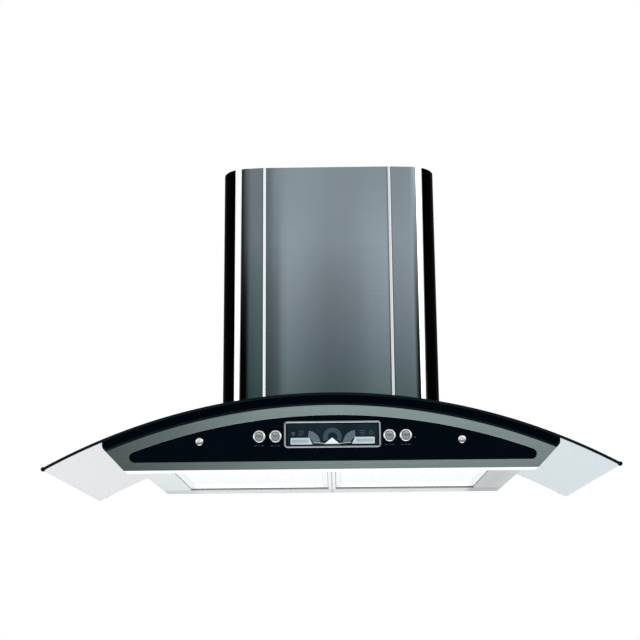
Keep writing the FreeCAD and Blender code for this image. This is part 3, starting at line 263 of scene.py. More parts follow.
def blend(tree, kind, factor, first, second):
    mix = tree.nodes.new("ShaderNodeMix")
    mix.data_type = "RGBA"
    mix.blend_type = kind
    feed(tree, mix.inputs["Factor"], factor)
    for label, value in (("A", first), ("B", second)):
        socket = next(item for item in mix.inputs if item.name == label and item.type == "RGBA")
        tree.links.new(value, socket)
    return next(item for item in mix.outputs if item.type == "RGBA")


def times(tree, first, second):
    return blend(tree, "MULTIPLY", 1, first, second)


def spread(tree, factor, low, high):
    """Turn a factor from 0 to 1 into a value from low to high."""
    node = tree.nodes.new("ShaderNodeMapRange")
    node.inputs["To Min"].default_value = low
    node.inputs["To Max"].default_value = high
    tree.links.new(factor, node.inputs["Value"])
    return node.outputs["Result"]


def bump(tree, shader, height, distance, strength):
    node = tree.nodes.new("ShaderNodeBump")
    node.inputs["Distance"].default_value = distance
    node.inputs["Strength"].default_value = strength
    tree.links.new(height, node.inputs["Height"])
    tree.links.new(node.outputs["Normal"], shader.inputs["Normal"])


def shaded(colour, factor):
    return tuple(channel * factor for channel in colour)


def mottle(tree, texture, colour, dark, light):
    """The colour, varied by a noise texture between two shares of itself."""
    return ramp(tree, texture, [(0.3, shaded(colour, dark)), (0.7, shaded(colour, light))])


# ---------------------------------------------------------------- finishes

def brushed_steel(name, colour, roughness=0.36, grain=(7, 600, 1100), across=None, up=None, low=None,
                  lowness=None, deep=None, contrast=0.1, metallic=1):
    """Steel brushed along X; its broad tones across and up the sheet are painted reflection and shade.

    low gives the painted tones across its lower part, lowness how far they hold at each height, and deep the
    painted shade from front to back.
    """
    material, tree, shader = new_material(name)
    streaks = noise(tree, grain, scale=1, detail=3, roughness=0.7)
    tone = mottle(tree, streaks, colour, 1 - contrast, 1 + contrast)
    clouds = ramp(tree, noise(tree, (1, 1, 0.25), scale=16, detail=2), [(0.3, 0.95), (0.7, 1)])
    tone = times(tree, tone, clouds)
    if across:
        sheet = along(tree, coordinate(tree, X), across)
        if low:
            lower = along(tree, coordinate(tree, X), low)
            sheet = blend(tree, "MIX", along(tree, coordinate(tree, Z), lowness), sheet, lower)
        tone = times(tree, tone, sheet)
    if up:
        tone = times(tree, tone, along(tree, coordinate(tree, Z), up))
    if deep:
        tone = times(tree, tone, along(tree, coordinate(tree, Y), deep))
    tree.links.new(tone, shader.inputs["Base Color"])
    shader.inputs["Metallic"].default_value = metallic
    tree.links.new(spread(tree, streaks, roughness - 0.06, roughness + 0.08), shader.inputs["Roughness"])
    bump(tree, shader, streaks, distance=0.00004, strength=0.3)
    return material


def polished(name, colour, roughness, axis=Z, tones=None, lean=0):
    """Polished metal; tones along one axis, which may lean with the height, are painted reflection: they
    stand for what it mirrors.
    """
    material, tree, shader = new_material(name)
    smear = noise(tree, (1, 1, 1), scale=60, detail=2)
    tone = mottle(tree, smear, colour, 0.96, 1)
    if tones:
        value = coordinate(tree, axis)
        if lean:
            value = combine(tree, "SUBTRACT", value, combine(tree, "MULTIPLY", coordinate(tree, Z), lean))
        tone = times(tree, tone, along(tree, value, tones))
    tree.links.new(tone, shader.inputs["Base Color"])
    shader.inputs["Metallic"].default_value = 1
    tree.links.new(spread(tree, smear, roughness * 0.7, roughness * 1.4), shader.inputs["Roughness"])
    return material


def gloss(name, colour, roughness, specular, speckle=0.1):
    """Glossy lacquer, glass or plastic, with a faint change of tone and of polish."""
    material, tree, shader = new_material(name)
    cloud = noise(tree, (1, 1, 1), scale=14, detail=3)
    tone = mottle(tree, cloud, colour, 1 - speckle, 1 + speckle)
    tree.links.new(tone, shader.inputs["Base Color"])
    tree.links.new(spread(tree, cloud, roughness * 0.8, roughness * 1.2), shader.inputs["Roughness"])
    shader.inputs["Specular IOR Level"].default_value = specular
    return material


def matt(name, colour, roughness):
    """Moulded plastic, rubber or enamel with a fine even grain."""
    material, tree, shader = new_material(name)
    fine = noise(tree, (1, 1, 1), scale=900, detail=2)
    tone = mottle(tree, fine, colour, 0.9, 1.08)
    tree.links.new(tone, shader.inputs["Base Color"])
    tree.links.new(spread(tree, fine, roughness - 0.05, roughness + 0.05), shader.inputs["Roughness"])
    bump(tree, shader, fine, distance=0.00003, strength=0.4)
    return material


def clear_glass(name, colours_across):
    """Tempered glass: clear, with a faint smear in its polish; paler and bluer at the left, darker and
    greener at the right.
    """
    material, tree, shader = new_material(name)
    smear = noise(tree, (1, 1, 1), scale=9, detail=2)
    polish = ramp(tree, smear, [(0.3, 0.985), (0.7, 1)])
    tone = times(tree, polish, along(tree, coordinate(tree, X), colours_across))
    tree.links.new(tone, shader.inputs["Base Color"])
    shader.inputs["Transmission Weight"].default_value = 1
    shader.inputs["IOR"].default_value = 1.45
    shader.inputs["Roughness"].default_value = 0
    return material


def ground_edge(name, colour):
    """The ground edge of a glass pane: frosted, and lit through from behind."""
    material, tree, shader = new_material(name)
    fine = noise(tree, (1, 1, 1), scale=400, detail=2)
    tone = mottle(tree, fine, colour, 0.95, 1)
    tree.links.new(tone, shader.inputs["Base Color"])
    shader.inputs["Transmission Weight"].default_value = 1
    shader.inputs["IOR"].default_value = 1.05
    shader.inputs["Roughness"].default_value = 0.4
    return material


def galvanised(name):
    """Zinc-plated sheet with its faint angular spangle."""
    material, tree, shader = new_material(name)
    cells = tree.nodes.new("ShaderNodeTexVoronoi")
    cells.inputs["Scale"].default_value = 130
    tree.links.new(object_place(tree), cells.inputs["Vector"])
    shade = tree.nodes.new("ShaderNodeSeparateColor")
    tree.links.new(cells.outputs["Color"], shade.inputs[0])
    tone = ramp(tree, shade.outputs[0], [(0, (0.46, 0.48, 0.49)), (1, (0.56, 0.58, 0.59))])
    tree.links.new(tone, shader.inputs["Base Color"])
    tree.links.new(spread(tree, shade.outputs[0], 0.3, 0.45), shader.inputs["Roughness"])
    shader.inputs["Metallic"].default_value = 1
    return material


def filter_mesh(name):
    """Layers of expanded aluminium: a pale diamond net over small dark gaps."""
    material, tree, shader = new_material(name)
    turn = tree.nodes.new("ShaderNodeMapping")
    turn.inputs["Rotation"].default_value = (0, 0, math.radians(45))
    turn.inputs["Scale"].default_value = (1, 1, 0)
    cells = tree.nodes.new("ShaderNodeTexVoronoi")
    cells.distance = "CHEBYCHEV"
    cells.inputs["Scale"].default_value = 320
    cells.inputs["Randomness"].default_value = 0.25
    tree.links.new(object_place(tree), turn.inputs["Vector"])
    tree.links.new(turn.outputs["Vector"], cells.inputs["Vector"])
    tone = ramp(tree, cells.outputs["Distance"], [(0.12, 0.78), (0.4, 0.97)])
    tree.links.new(tone, shader.inputs["Base Color"])
    shader.inputs["Metallic"].default_value = 0.3
    shader.inputs["Roughness"].default_value = 0.45
    bump(tree, shader, cells.outputs["Distance"], distance=0.0006, strength=0.5)
    return material


def circuit_board(name):
    """Green solder mask over faint copper tracks."""
    material, tree, shader = new_material(name)
    tracks = tree.nodes.new("ShaderNodeTexBrick")
    tracks.inputs["Scale"].default_value = 60
    tracks.inputs["Color1"].default_value = (0.008, 0.085, 0.03, 1)
    tracks.inputs["Color2"].default_value = (0.01, 0.105, 0.04, 1)
    tracks.inputs["Mortar"].default_value = (0.03, 0.17, 0.07, 1)
    tracks.inputs["Mortar Size"].default_value = 0.03
    tree.links.new(object_place(tree), tracks.inputs["Vector"])
    tree.links.new(tracks.outputs["Color"], shader.inputs["Base Color"])
    shader.inputs["Roughness"].default_value = 0.35
    return material


# ---------------------------------------------------------------- tones and finishes of the pieces

# Stops of (place in mm, tone). The chimney's tones are painted reflection and shade: plain near its top,
# and lower down dark beside the left strip and the inlays and towards the middle.
CHIMNEY_SHADE_HIGH = [(-156, 0.15), (-147, 0.5), (-140, 0.68), (-124, 0.7), (-120, 0.58), (-108, 0.58),
                (-97, 0.9), (-76, 1.04), (-50, 1.1), (0, 0.97), (104, 0.96), (106, 0.62), (113, 0.6),
                (115, 0.86), (156, 0.9)]
CHIMNEY_SHADE_LOW = [(-156, 0.0), (-149, 0.02), (-143, (0.46, 0.54, 0.51)), (-124, (0.6, 0.68, 0.64)),
               (-120, 0.5), (-108, 0.54), (-93, 0.74), (-84, 1.28), (-74, 1.44), (-33, 1.12), (0, 0.98),
               (30, 1.02), (53, 1.16), (75, 1.4), (104, 1.54), (106, 0.8), (113, 0.7), (115, 1.15),
               (140, 1.2), (149, 1.3), (152, 0.5), (156, 0.05)]
CHIMNEY_SHADE_LOWNESS = [(210, 1.0), (325, 0.85), (427, 0.4), (545, 0)]
# painted shade: the chimney's steel darkens, and turns a little greener, towards the bottom
CHIMNEY_SHADE_UP = [(95, (0.25, 0.3, 0.28)), (131, (0.28, 0.335, 0.31)), (223, (0.46, 0.49, 0.5)),
              (325, 0.69), (427, 0.95), (564, 0.97)]
# painted shade on the strips' flanges in the recess: dark on the left one, and towards the bottom on both
RECESS_SHADE_ACROSS = [(-176, 0.12), (0, 0.12), (1, 1), (176, 1)]
RECESS_SHADE_UP = [(95, 0.01), (250, 0.04), (400, 0.4), (564, 0.95)]
# painted reflection and shade: each corner strip is bright over part of its width and near black over the
# rest
STRIP_REFLECTION_ACROSS = [(-176, 1), (-162.8, 1), (-161.7, 0.02), (0, 0.02), (1, 1), (165, 1), (166.1, 0.02),
                (176, 0.02)]
# the strips' painted reflection and shade shift to the right by this share of the height
STRIP_REFLECTION_LEAN = 0.0075
# painted reflection: the inlays are darker towards the right
INLAY_REFLECTION_ACROSS = [(-125, 0.9), (0, 0.8), (118, 0.7)]
# painted reflection and shade: the fascia's steel is darker towards the left and towards the bottom
FASCIA_SHADE_ACROSS = [(-352, 0.34), (-250, 0.5), (-100, 0.84), (0, 0.94), (150, 0.94), (352, 0.84)]
FASCIA_SHADE_UP = [(-15, 0.8), (0, 0.88), (60, 1.0), (90, 1.06)]
# painted shade on the underside frame: darker towards both sides, most on the right, with a painted shadow
# line where the two filter openings meet
UNDER_SHADE_ACROSS = [(-320, 0.82), (-262, 0.84), (-250, 1.0), (-2.4, 1.0), (-1.2, 0.5), (1.2, 0.5),
                (2.4, 1.0), (250, 1.0), (262, 0.56), (290, 0.53), (320, 0.62)]
# the wall at the back of the filter openings lies in shade
UNDER_SHADE_DEEP = [(-460, 1), (-63.5, 1), (-63.4, 0.3), (-62.6, 0.3), (-62.5, 0.8), (0, 0.8)]
# the pane is paler and bluer at the left and darker and greener at the right
GLASS_ACROSS = [(-450, (0.94, 0.952, 0.974)), (-300, (0.945, 0.955, 0.972)), (300, (0.79, 0.885, 0.9)),
                (450, (0.77, 0.87, 0.89))]
# painted reflection: bright and dark bands by height on the button rings, the button caps and the studs
CHROME_REFLECTION_UP = [(27, 0.45), (29.5, 0.3), (32, 0.5), (35, 0.75), (40, 0.8), (42.5, 0.45), (45, 0.7), (48, 0.5)]
CAP_REFLECTION_UP = [(31, 0.16), (34, 0.32), (38, 0.2), (41, 0.36), (44, 0.2)]
STUD_REFLECTION_UP = [(23.5, 0.4), (27, 0.16), (30, 0.5), (32.5, 0.82), (36.8, 0.5)]

PALE_STEEL = (0.94, 0.97, 0.96)
CHIMNEY_STEEL = (0.23, 0.278, 0.306)

# each finish: the function that makes it, and its settings
FINISHES = {
    "clear_glass": (clear_glass, dict(colours_across=GLASS_ACROSS)),
    "glass_rim": (ground_edge, dict(colour=(0.86, 0.92, 0.92))),
    "edge_black": (gloss, dict(colour=(0.003, 0.0085, 0.01), roughness=0.35, specular=0.008)),
    "moulding_black": (gloss, dict(colour=(0.0, 0.0011, 0.0028), roughness=0.3, specular=0.008)),
    "moulding_sheen": (gloss, dict(colour=(0.0022, 0.0062, 0.0081), roughness=0.3, specular=0.015)),
    "fascia_steel": (brushed_steel, dict(colour=(0.235, 0.3, 0.295), roughness=0.38,
                                         across=FASCIA_SHADE_ACROSS, up=FASCIA_SHADE_UP)),
    "fascia_underside": (brushed_steel, dict(colour=PALE_STEEL, roughness=0.4, contrast=0.03, metallic=0.3)),
    "chimney_steel": (brushed_steel, dict(colour=CHIMNEY_STEEL, across=CHIMNEY_SHADE_HIGH, up=CHIMNEY_SHADE_UP,
                                          low=CHIMNEY_SHADE_LOW, lowness=CHIMNEY_SHADE_LOWNESS, contrast=0.06)),
    "recess_steel": (brushed_steel, dict(colour=CHIMNEY_STEEL, across=RECESS_SHADE_ACROSS, up=RECESS_SHADE_UP,
                                         contrast=0.06)),
    "panel_black": (gloss, dict(colour=(0.0006, 0.002, 0.0042), roughness=0.06, specular=0.01)),
    "display_dark": (gloss, dict(colour=(0.001, 0.003, 0.005), roughness=0.12, specular=0.04)),
    "chrome": (polished, dict(colour=(0.95, 0.98, 1), roughness=0.12, tones=CHROME_REFLECTION_UP)),
    "stud_chrome": (polished, dict(colour=(1, 1, 1), roughness=0.12, tones=STUD_REFLECTION_UP)),
    "cap_chrome": (polished, dict(colour=(0.93, 0.97, 1), roughness=0.25, tones=CAP_REFLECTION_UP)),
    "side_black": (gloss, dict(colour=(0.0003, 0.0003, 0.0004), roughness=0.3, specular=0.0015)),
    "body_steel": (brushed_steel, dict(colour=(0.9, 0.93, 0.92), roughness=0.4, contrast=0.03)),
    "underside_steel": (brushed_steel, dict(colour=PALE_STEEL, roughness=0.4, across=UNDER_SHADE_ACROSS,
                                            deep=UNDER_SHADE_DEEP, contrast=0.03, metallic=0.5)),
    "filter_aluminium": (filter_mesh, {}),
    "galvanised": (galvanised, {}),
    "motor_grey": (matt, dict(colour=(0.12, 0.125, 0.135), roughness=0.45)),
    "fan_black": (matt, dict(colour=(0.012, 0.012, 0.014), roughness=0.5)),
    "box_black": (matt, dict(colour=(0.01, 0.01, 0.01), roughness=0.55)),
    "board_green": (circuit_board, {}),
    "lamp_glass": (gloss, dict(colour=(0.85, 0.86, 0.82), roughness=0.3, specular=0.5, speckle=0.02)),
    "rubber": (matt, dict(colour=(0.008, 0.008, 0.008), roughness=0.75)),
    "magnet_nickel": (polished, dict(colour=(0.6, 0.59, 0.56), roughness=0.2)),
    "capacitor_white": (matt, dict(colour=(0.7, 0.7, 0.68), roughness=0.5)),
    # tones within the display and on the buttons
    "bezel_grey": (polished, dict(colour=(0.27, 0.31, 0.33), roughness=0.3)),
    "screen_slate": (gloss, dict(colour=(0.0065, 0.0135, 0.019), roughness=0.2, specular=0.04,
                                 speckle=0.35)),
    "mark_faint": (gloss, dict(colour=(0.038, 0.064, 0.076), roughness=0.5, specular=0.1)),
    "mark_mid": (gloss, dict(colour=(0.1, 0.14, 0.16), roughness=0.5, specular=0.1)),
    "mark_pale": (gloss, dict(colour=(0.42, 0.51, 0.52), roughness=0.5, specular=0.1)),
    "mark_soft": (gloss, dict(colour=(0.29, 0.36, 0.38), roughness=0.5, specular=0.1)),
    "mark_white": (gloss, dict(colour=(0.66, 0.74, 0.76), roughness=0.5, specular=0.1)),
    "mark_dark": (matt, dict(colour=(0.05, 0.055, 0.06), roughness=0.5)),
    "caption_grey": (gloss, dict(colour=(0.05, 0.055, 0.085), roughness=0.5, specular=0.05)),
    "strip_bright": (polished, dict(colour=(0.95, 0.96, 0.97), roughness=0.2, axis=X, tones=STRIP_REFLECTION_ACROSS,
                                    lean=STRIP_REFLECTION_LEAN)),
    "inlay_bright": (polished, dict(colour=(0.94, 0.98, 1), roughness=0.2, axis=X, tones=INLAY_REFLECTION_ACROSS)),
    "rail_bright": (brushed_steel, dict(colour=(0.93, 0.95, 0.95), roughness=0.35, grain=(900, 7, 900),
                                        contrast=0.03, metallic=0.4)),
}


# ---------------------------------------------------------------- outlines

def arch(radius, x):
    """The height of an arch at a distance from the middle."""
    return ARCH_Z + math.sqrt(radius * radius - x * x)


def steps(start, end, count):
    """Count + 1 even steps from start to end."""
    return [start + (end - start) * index / count for index in range(count + 1)]


def circle_part(centre, radius, start, end, count):
    """Points along a circle between two angles in degrees."""
    points = []
    for angle in steps(start, end, count):
        turn = math.radians(angle)
        points.append((centre[0] + radius * math.cos(turn), centre[1] + radius * math.sin(turn)))
    return points


def ring_part(inner, outer, start, end, centre=(0, 0)):
    return circle_part(centre, outer, start, end, 20) + circle_part(centre, inner, end, start, 20)


def quadratic(start, pull, end, share):
    """A number on a quadratic curve from start to end."""
    return (1 - share) ** 2 * start + 2 * share * (1 - share) * pull + share ** 2 * end


def bar(x0, x1, z0, z1):
    return [(x0, z0), (x1, z0), (x1, z1), (x0, z1)]


def rounded_rectangle(left, right, bottom, top, radius, count=6):
    return (circle_part((right - radius, bottom + radius), radius, -90, 0, count)
            + circle_part((right - radius, top - radius), radius, 0, 90, count)
            + circle_part((left + radius, top - radius), radius, 90, 180, count)
            + circle_part((left + radius, bottom + radius), radius, 180, 270, count))


# ---------------------------------------------------------------- mesh building blocks

def upright(outline, y):
    return [(x, y, z) for x, z in outline]


def stack(profile):
    """Upright loops, from rows of an outline's function, its inset and its y."""
    return [upright(outline(inset), y) for outline, inset, y in profile]


def loft(bm, loops, ring=False):
    """Faces between loops of equal length, closed with caps or back onto the first loop."""
    rows = [[bm.verts.new(point) for point in loop] for loop in loops]
    pairs = list(zip(rows, rows[1:]))
    if ring:
        pairs.append((rows[-1], rows[0]))
    for low, high in pairs:
        for index in range(len(low)):
            following = (index + 1) % len(low)
            bm.faces.new((low[index], low[following], high[following], high[index]))
    if not ring:
        bm.faces.new(reversed(rows[0]))
        bm.faces.new(rows[-1])


def solid(loops, ring=False):
    """A new mesh that holds one loft."""
    bm = bmesh.new()
    loft(bm, loops, ring)
    return bm


def plates(outlines, front, depth, bm=None):
    """Plates of (x, z) outlines whose front faces lie at y = front, in a new mesh or the one given."""
    if bm is None:
        bm = bmesh.new()
    for outline in outlines:
        loft(bm, [upright(outline, front), upright(outline, front + depth)])
    return bm


def lathe(centre, profile, axis=Y, segments=48):
    """Loops of a round body; profile holds (radius, distance to the front), or (radius, height) about Z."""
    loops = []
    for radius, reach in profile:
        loop = []
        for index in range(segments):
            angle = 2 * math.pi * index / segments
            u, v = radius * math.cos(angle), radius * math.sin(angle)
            if axis == Y:
                loop.append((centre[0] + u, centre[1] - reach, centre[2] + v))
            else:
                loop.append((centre[0] + u, centre[1] + v, centre[2] + reach))
        loops.append(loop)
    return loops


def make_piece(name, bm, material, body="hood", replaces=(), bevel=0.0, sharp=38, second=None):
    """Turn the mesh into a piece that rides on its body, in metres, with soft edges.

    second names another finish and the test that picks the faces for it.
    """
    bmesh.ops.remove_doubles(bm, verts=bm.verts, dist=0.0005)
    bmesh.ops.recalc_face_normals(bm, faces=bm.faces)
    bmesh.ops.scale(bm, vec=(MM, MM, MM), verts=bm.verts)
    for face in bm.faces:
        face.smooth = True
        face.material_index = 1 if second and second[1](face) else 0
    limit = math.radians(sharp)
    for edge in bm.edges:
        edge.smooth = len(edge.link_faces) == 2 and edge.calc_face_angle() < limit
    mesh = bpy.data.meshes.new(name)
    bm.to_mesh(mesh)
    bm.free()
    mesh.materials.append(MATERIALS[material])
    if second:
        mesh.materials.append(MATERIALS[second[0]])
    piece = bpy.data.objects.new(name, mesh)
    bpy.context.scene.collection.objects.link(piece)
    soften(piece, bevel, sharp)
    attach(piece, body)
    if replaces:
        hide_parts(*replaces)
    return piece


def soften(piece, bevel, sharp):
    if bevel:
        rounding = piece.modifiers.new("soft_edges", "BEVEL")
        rounding.width = bevel * MM
        rounding.segments = 2
        rounding.limit_method = "ANGLE"
        rounding.angle_limit = math.radians(sharp)
        rounding.harden_normals = True
    else:
        weighted = piece.modifiers.new("face_normals", "WEIGHTED_NORMAL")
        weighted.keep_sharp = True


# ---------------------------------------------------------------- glass and black trims

def make_canopy():
    """The arched pane with its cutout for the chimney and small round rear corners."""
    half = 195
    front = -272
    corner = 50
    rear = -1
    outer_corner = 12
    outline = [(-GLASS_HALF, PANE_FRONT), (GLASS_HALF, PANE_FRONT)]
    outline += circle_part((GLASS_HALF - outer_corner, rear - outer_corner), outer_corner, 0, 90, 6)
    outline += [(half, rear)]
    outline += circle_part((half - corner, front + corner), corner, 0, -90, 10)
    outline += circle_part((-half + corner, front + corner), corner, -90, -180, 10)
    outline += [(-half, rear)]
    outline += circle_part((-GLASS_HALF + outer_corner, rear - outer_corner), outer_corner, 90, 180, 6)
    bm = bmesh.new()
    bm.faces.new([bm.verts.new((x, y, 0)) for x, y in outline])
    cut_end, cut_width = 440, 8
    for x in range(-cut_end, cut_end + 1, cut_width):
        bmesh.ops.bisect_plane(bm, geom=bm.verts[:] + bm.edges[:] + bm.faces[:], dist=0.01,
                               plane_co=(x, 0, 0), plane_no=(1, 0, 0))
    low = bm.verts[:]
    grown = bmesh.ops.extrude_face_region(bm, geom=bm.faces[:])
    high = [item for item in grown["geom"] if isinstance(item, bmesh.types.BMVert)]
    for vert in low:
        vert.co.z = arch(GLASS_INNER, vert.co.x)
    for vert in high:
        vert.co.z = arch(GLASS_OUTER, vert.co.x)
    make_piece("glass_pane", bm, "clear_glass", replaces=("glass_canopy",), sharp=50,
               second=("glass_rim", lambda face: abs(face.normal.x) > 0.9))


def arch_sweep(section, half_angle, count):
    """Sweep a section of (radius, y) along the arch, from left to right."""
    loops = []
    for angle in steps(-half_angle, half_angle, count):
        across, up = math.sin(angle), math.cos(angle)
        loops.append([(radius * across, y, ARCH_Z + radius * up) for radius, y in section])
    return solid(loops)


BEAD_REAR = -492
BEAD_PROFILE = [(0.01, 0), (1.6, 0.1), (2.8, 0.8), (3.4, 2), (3.5, 3.4), (3.5, 5.4), (3.2, 6.8), (2.4, 7.6),
                (1.2, 8), (0.01, 8)]


def make_edge_trim():
    """The half-round channel that wraps the glass edge, with a round bead at each tip."""
    low, high = GLASS_INNER - CHANNEL_WALL, GLASS_OUTER + CHANNEL_WALL
    nose = (high - low) / 2
    section = [(low, CHANNEL_REAR)]
    section += [(low + nose + u, GLASS_FRONT + nose + v) for u, v in circle_part((0, 0), nose, 180, 360, 10)]
    section += [(high, CHANNEL_REAR), (GLASS_OUTER, CHANNEL_REAR), (GLASS_OUTER, PANE_FRONT),
                (GLASS_INNER, PANE_FRONT), (GLASS_INNER, CHANNEL_REAR)]
    bm = arch_sweep(section, math.asin(GLASS_HALF / GLASS_OUTER), 140)
    for side in (-1, 1):
        tip = (side * GLASS_HALF, BEAD_REAR, arch(low + nose, GLASS_HALF))
        loft(bm, lathe(tip, BEAD_PROFILE, segments=28))
    make_piece("edge_channel", bm, "edge_black", replaces=("glass_edge_trim",))


def moulding_outline(inset):
    """Upright at the top of each end, then rounded into the lower arch; it stays close to the channel."""
    top_share, foot_share = 0.12, 0.6
    knee_share, pull = 0.36, 5.6
    top = GLASS_INNER - CHANNEL_WALL - inset * top_share
    low = FASCIA_OUTER + inset
    end = MOULDING_HALF - inset
    foot = MOULDING_FOOT - inset * foot_share
    end_z = arch(top, end)
    foot_z = arch(low, foot)
    knee = end_z - (end_z - foot_z) * knee_share
    curve = [(quadratic(end, end, foot, share), quadratic(knee, foot_z + pull, foot_z, share))
             for share in steps(0, 1, 10)[:-1]]
    points = [(x, arch(top, x)) for x in steps(end, -end, 120)]
    points += [(-x, z) for x, z in curve]
    points += [(x, arch(low, x)) for x in steps(-foot, foot, 120)]
    points += reversed(curve)
    return points


def make_moulding():
    """The strip between the glass and the fascia, with a rounded front edge."""
    round_off = 3.2
    profile = [(moulding_outline, 0, SHELL_FRONT), (moulding_outline, 0, MOULDING_FRONT + round_off)]
    for angle in steps(0, 90, 6)[1:]:
        turn = math.radians(angle)
        inset = round_off * (1 - math.cos(turn))
        profile.append((moulding_outline, inset, MOULDING_FRONT + round_off * (1 - math.sin(turn))))
    # painted sheen: the lower rounded faces get a lighter copy of the moulding's black
    make_piece("front_moulding", solid(stack(profile)), "moulding_black",
               replaces=("front_trim",),
               second=("moulding_sheen", lambda face: face.normal.y < -0.1 and face.normal.z < -0.1))


# ---------------------------------------------------------------- fascia and control glass

def fascia_outline(inset):
    """Flat at the foot, sloping up to the shoulders, and arched at the top."""
    bottom = FASCIA_BOTTOM + inset
    foot = FASCIA_FOOT - inset
    shoulder = FASCIA_SHOULDER - inset
    radius = FASCIA_OUTER - inset
    top = arch(radius, shoulder)
    slope = [(foot + (shoulder - foot) * share, bottom + (top - bottom) * share)
             for share in steps(0, 1, 13)[1:-1]]
    points = [(x, bottom) for x in steps(-foot, foot, 60)]
    points += slope
    points += [(x, arch(radius, x)) for x in steps(shoulder, -shoulder, 120)]
    points += [(-x, z) for x, z in reversed(slope)]
    return points


def lens_outline(inset):
    """Flat at the foot and arched at the top, with a round end at each side."""
    end_x, end_z = LENS_END
    tangent = math.degrees(math.atan2(end_z - ARCH_Z, end_x))
    right = circle_part((end_x, end_z), LENS_END_RADIUS - inset, -90, tangent, 13)
    reach = right[-1][0]
    points = [(x, LENS_BOTTOM + inset) for x in steps(-end_x, end_x, 60)]
    points += right[1:-1]
    points += [(x, arch(LENS_OUTER - inset, x)) for x in steps(reach, -reach, 120)]
    points += [(-x, z) for x, z in reversed(right[1:-1])]
    return [(PANEL_SHIFT + x, z) for x, z in points]


def make_fascia():
    """The plate, soft along its front edges, with a stepped seat for the control glass."""
    profile = [(fascia_outline, 0, SHELL_FRONT), (fascia_outline, 0, FASCIA_FRONT + 0.8),
               (fascia_outline, 0.25, FASCIA_FRONT + 0.25), (fascia_outline, 0.8, FASCIA_FRONT),
               (lens_outline, -0.4, FASCIA_FRONT), (lens_outline, 0, FASCIA_FRONT + 0.4),
               (lens_outline, 0, PANEL_BACK), (lens_outline, 6, PANEL_BACK), (lens_outline, 6, PLATE_BACK),
               (fascia_outline, 1.5, PLATE_BACK), (fascia_outline, 1.5, SHELL_FRONT)]
    # painted light: the faces that look down get a far paler copy of the fascia's steel
    make_piece("fascia_plate", solid(stack(profile), ring=True), "fascia_steel",
               replaces=("fascia_frame",), second=("fascia_underside", lambda face: face.normal.z < -0.9))


def make_control_glass():
    profile = [(lens_outline, 0.3, PANEL_BACK), (lens_outline, 0.3, FASCIA_FRONT + 0.6),
               (lens_outline, 0.5, FASCIA_FRONT + 0.2), (lens_outline, 0.9, FASCIA_FRONT)]
    make_piece("panel_glass", solid(stack(profile)), "panel_black",
               replaces=("control_glass",))


STUD_PROFILE = [(3, -35), (3, 0), (6.1, 0), (6.5, 0.3), (6.45, 1.2), (5.9, 2.1), (4.8, 2.75), (3.4, 2.98),
                (2.0, 2.85), (1.3, 2.3), (0.02, 2.1)]


def make_studs():
    for name, side in SIDES:
        bm = solid(lathe((side * STUD_X, FASCIA_FRONT, STUD_Z), STUD_PROFILE, segments=40))
        make_piece(f"stud_{name}", bm, "stud_chrome", replaces=(f"panel_stud_{name}",))


# ---------------------------------------------------------------- display

DISPLAY_CORNER = 6
# each layer of marks stands a little further out than the one behind it
MARK_LAYERS = (0.86, 0.9, 0.94, 0.96)
MARK_DEPTH = 0.12


def display_outline(inset):
    return rounded_rectangle(PANEL_SHIFT - DISPLAY_HALF + inset, PANEL_SHIFT + DISPLAY_HALF - inset,
                             DISPLAY_Z - DISPLAY_RISE + inset, DISPLAY_Z + DISPLAY_RISE - inset,
                             DISPLAY_CORNER - inset)


def on_display(points):
    """Move an outline from the display's own centre to its place."""
    return [(PANEL_SHIFT + x, DISPLAY_Z + z) for x, z in points]


def pill(left, right, bottom, top, radius):
    return on_display(rounded_rectangle(left, right, bottom, top, radius))


def gauge(centre, inner, outer, start, end, blocks):
    """Blocks of a gauge with narrow gaps between them."""
    width = (end - start) / blocks
    filled = 0.86
    outlines = []
    for index in range(blocks):
        first, last = start + width * index, start + width * (index + filled)
        outlines.append(on_display(circle_part(centre, outer, first, last, 6)
                                   + circle_part(centre, inner, last, first, 6)))
    return outlines


def make_marks(name, outlines, material, layer):
    bm = plates(outlines, FASCIA_FRONT - MARK_LAYERS[layer], MARK_DEPTH)
    make_piece(name, bm, material)


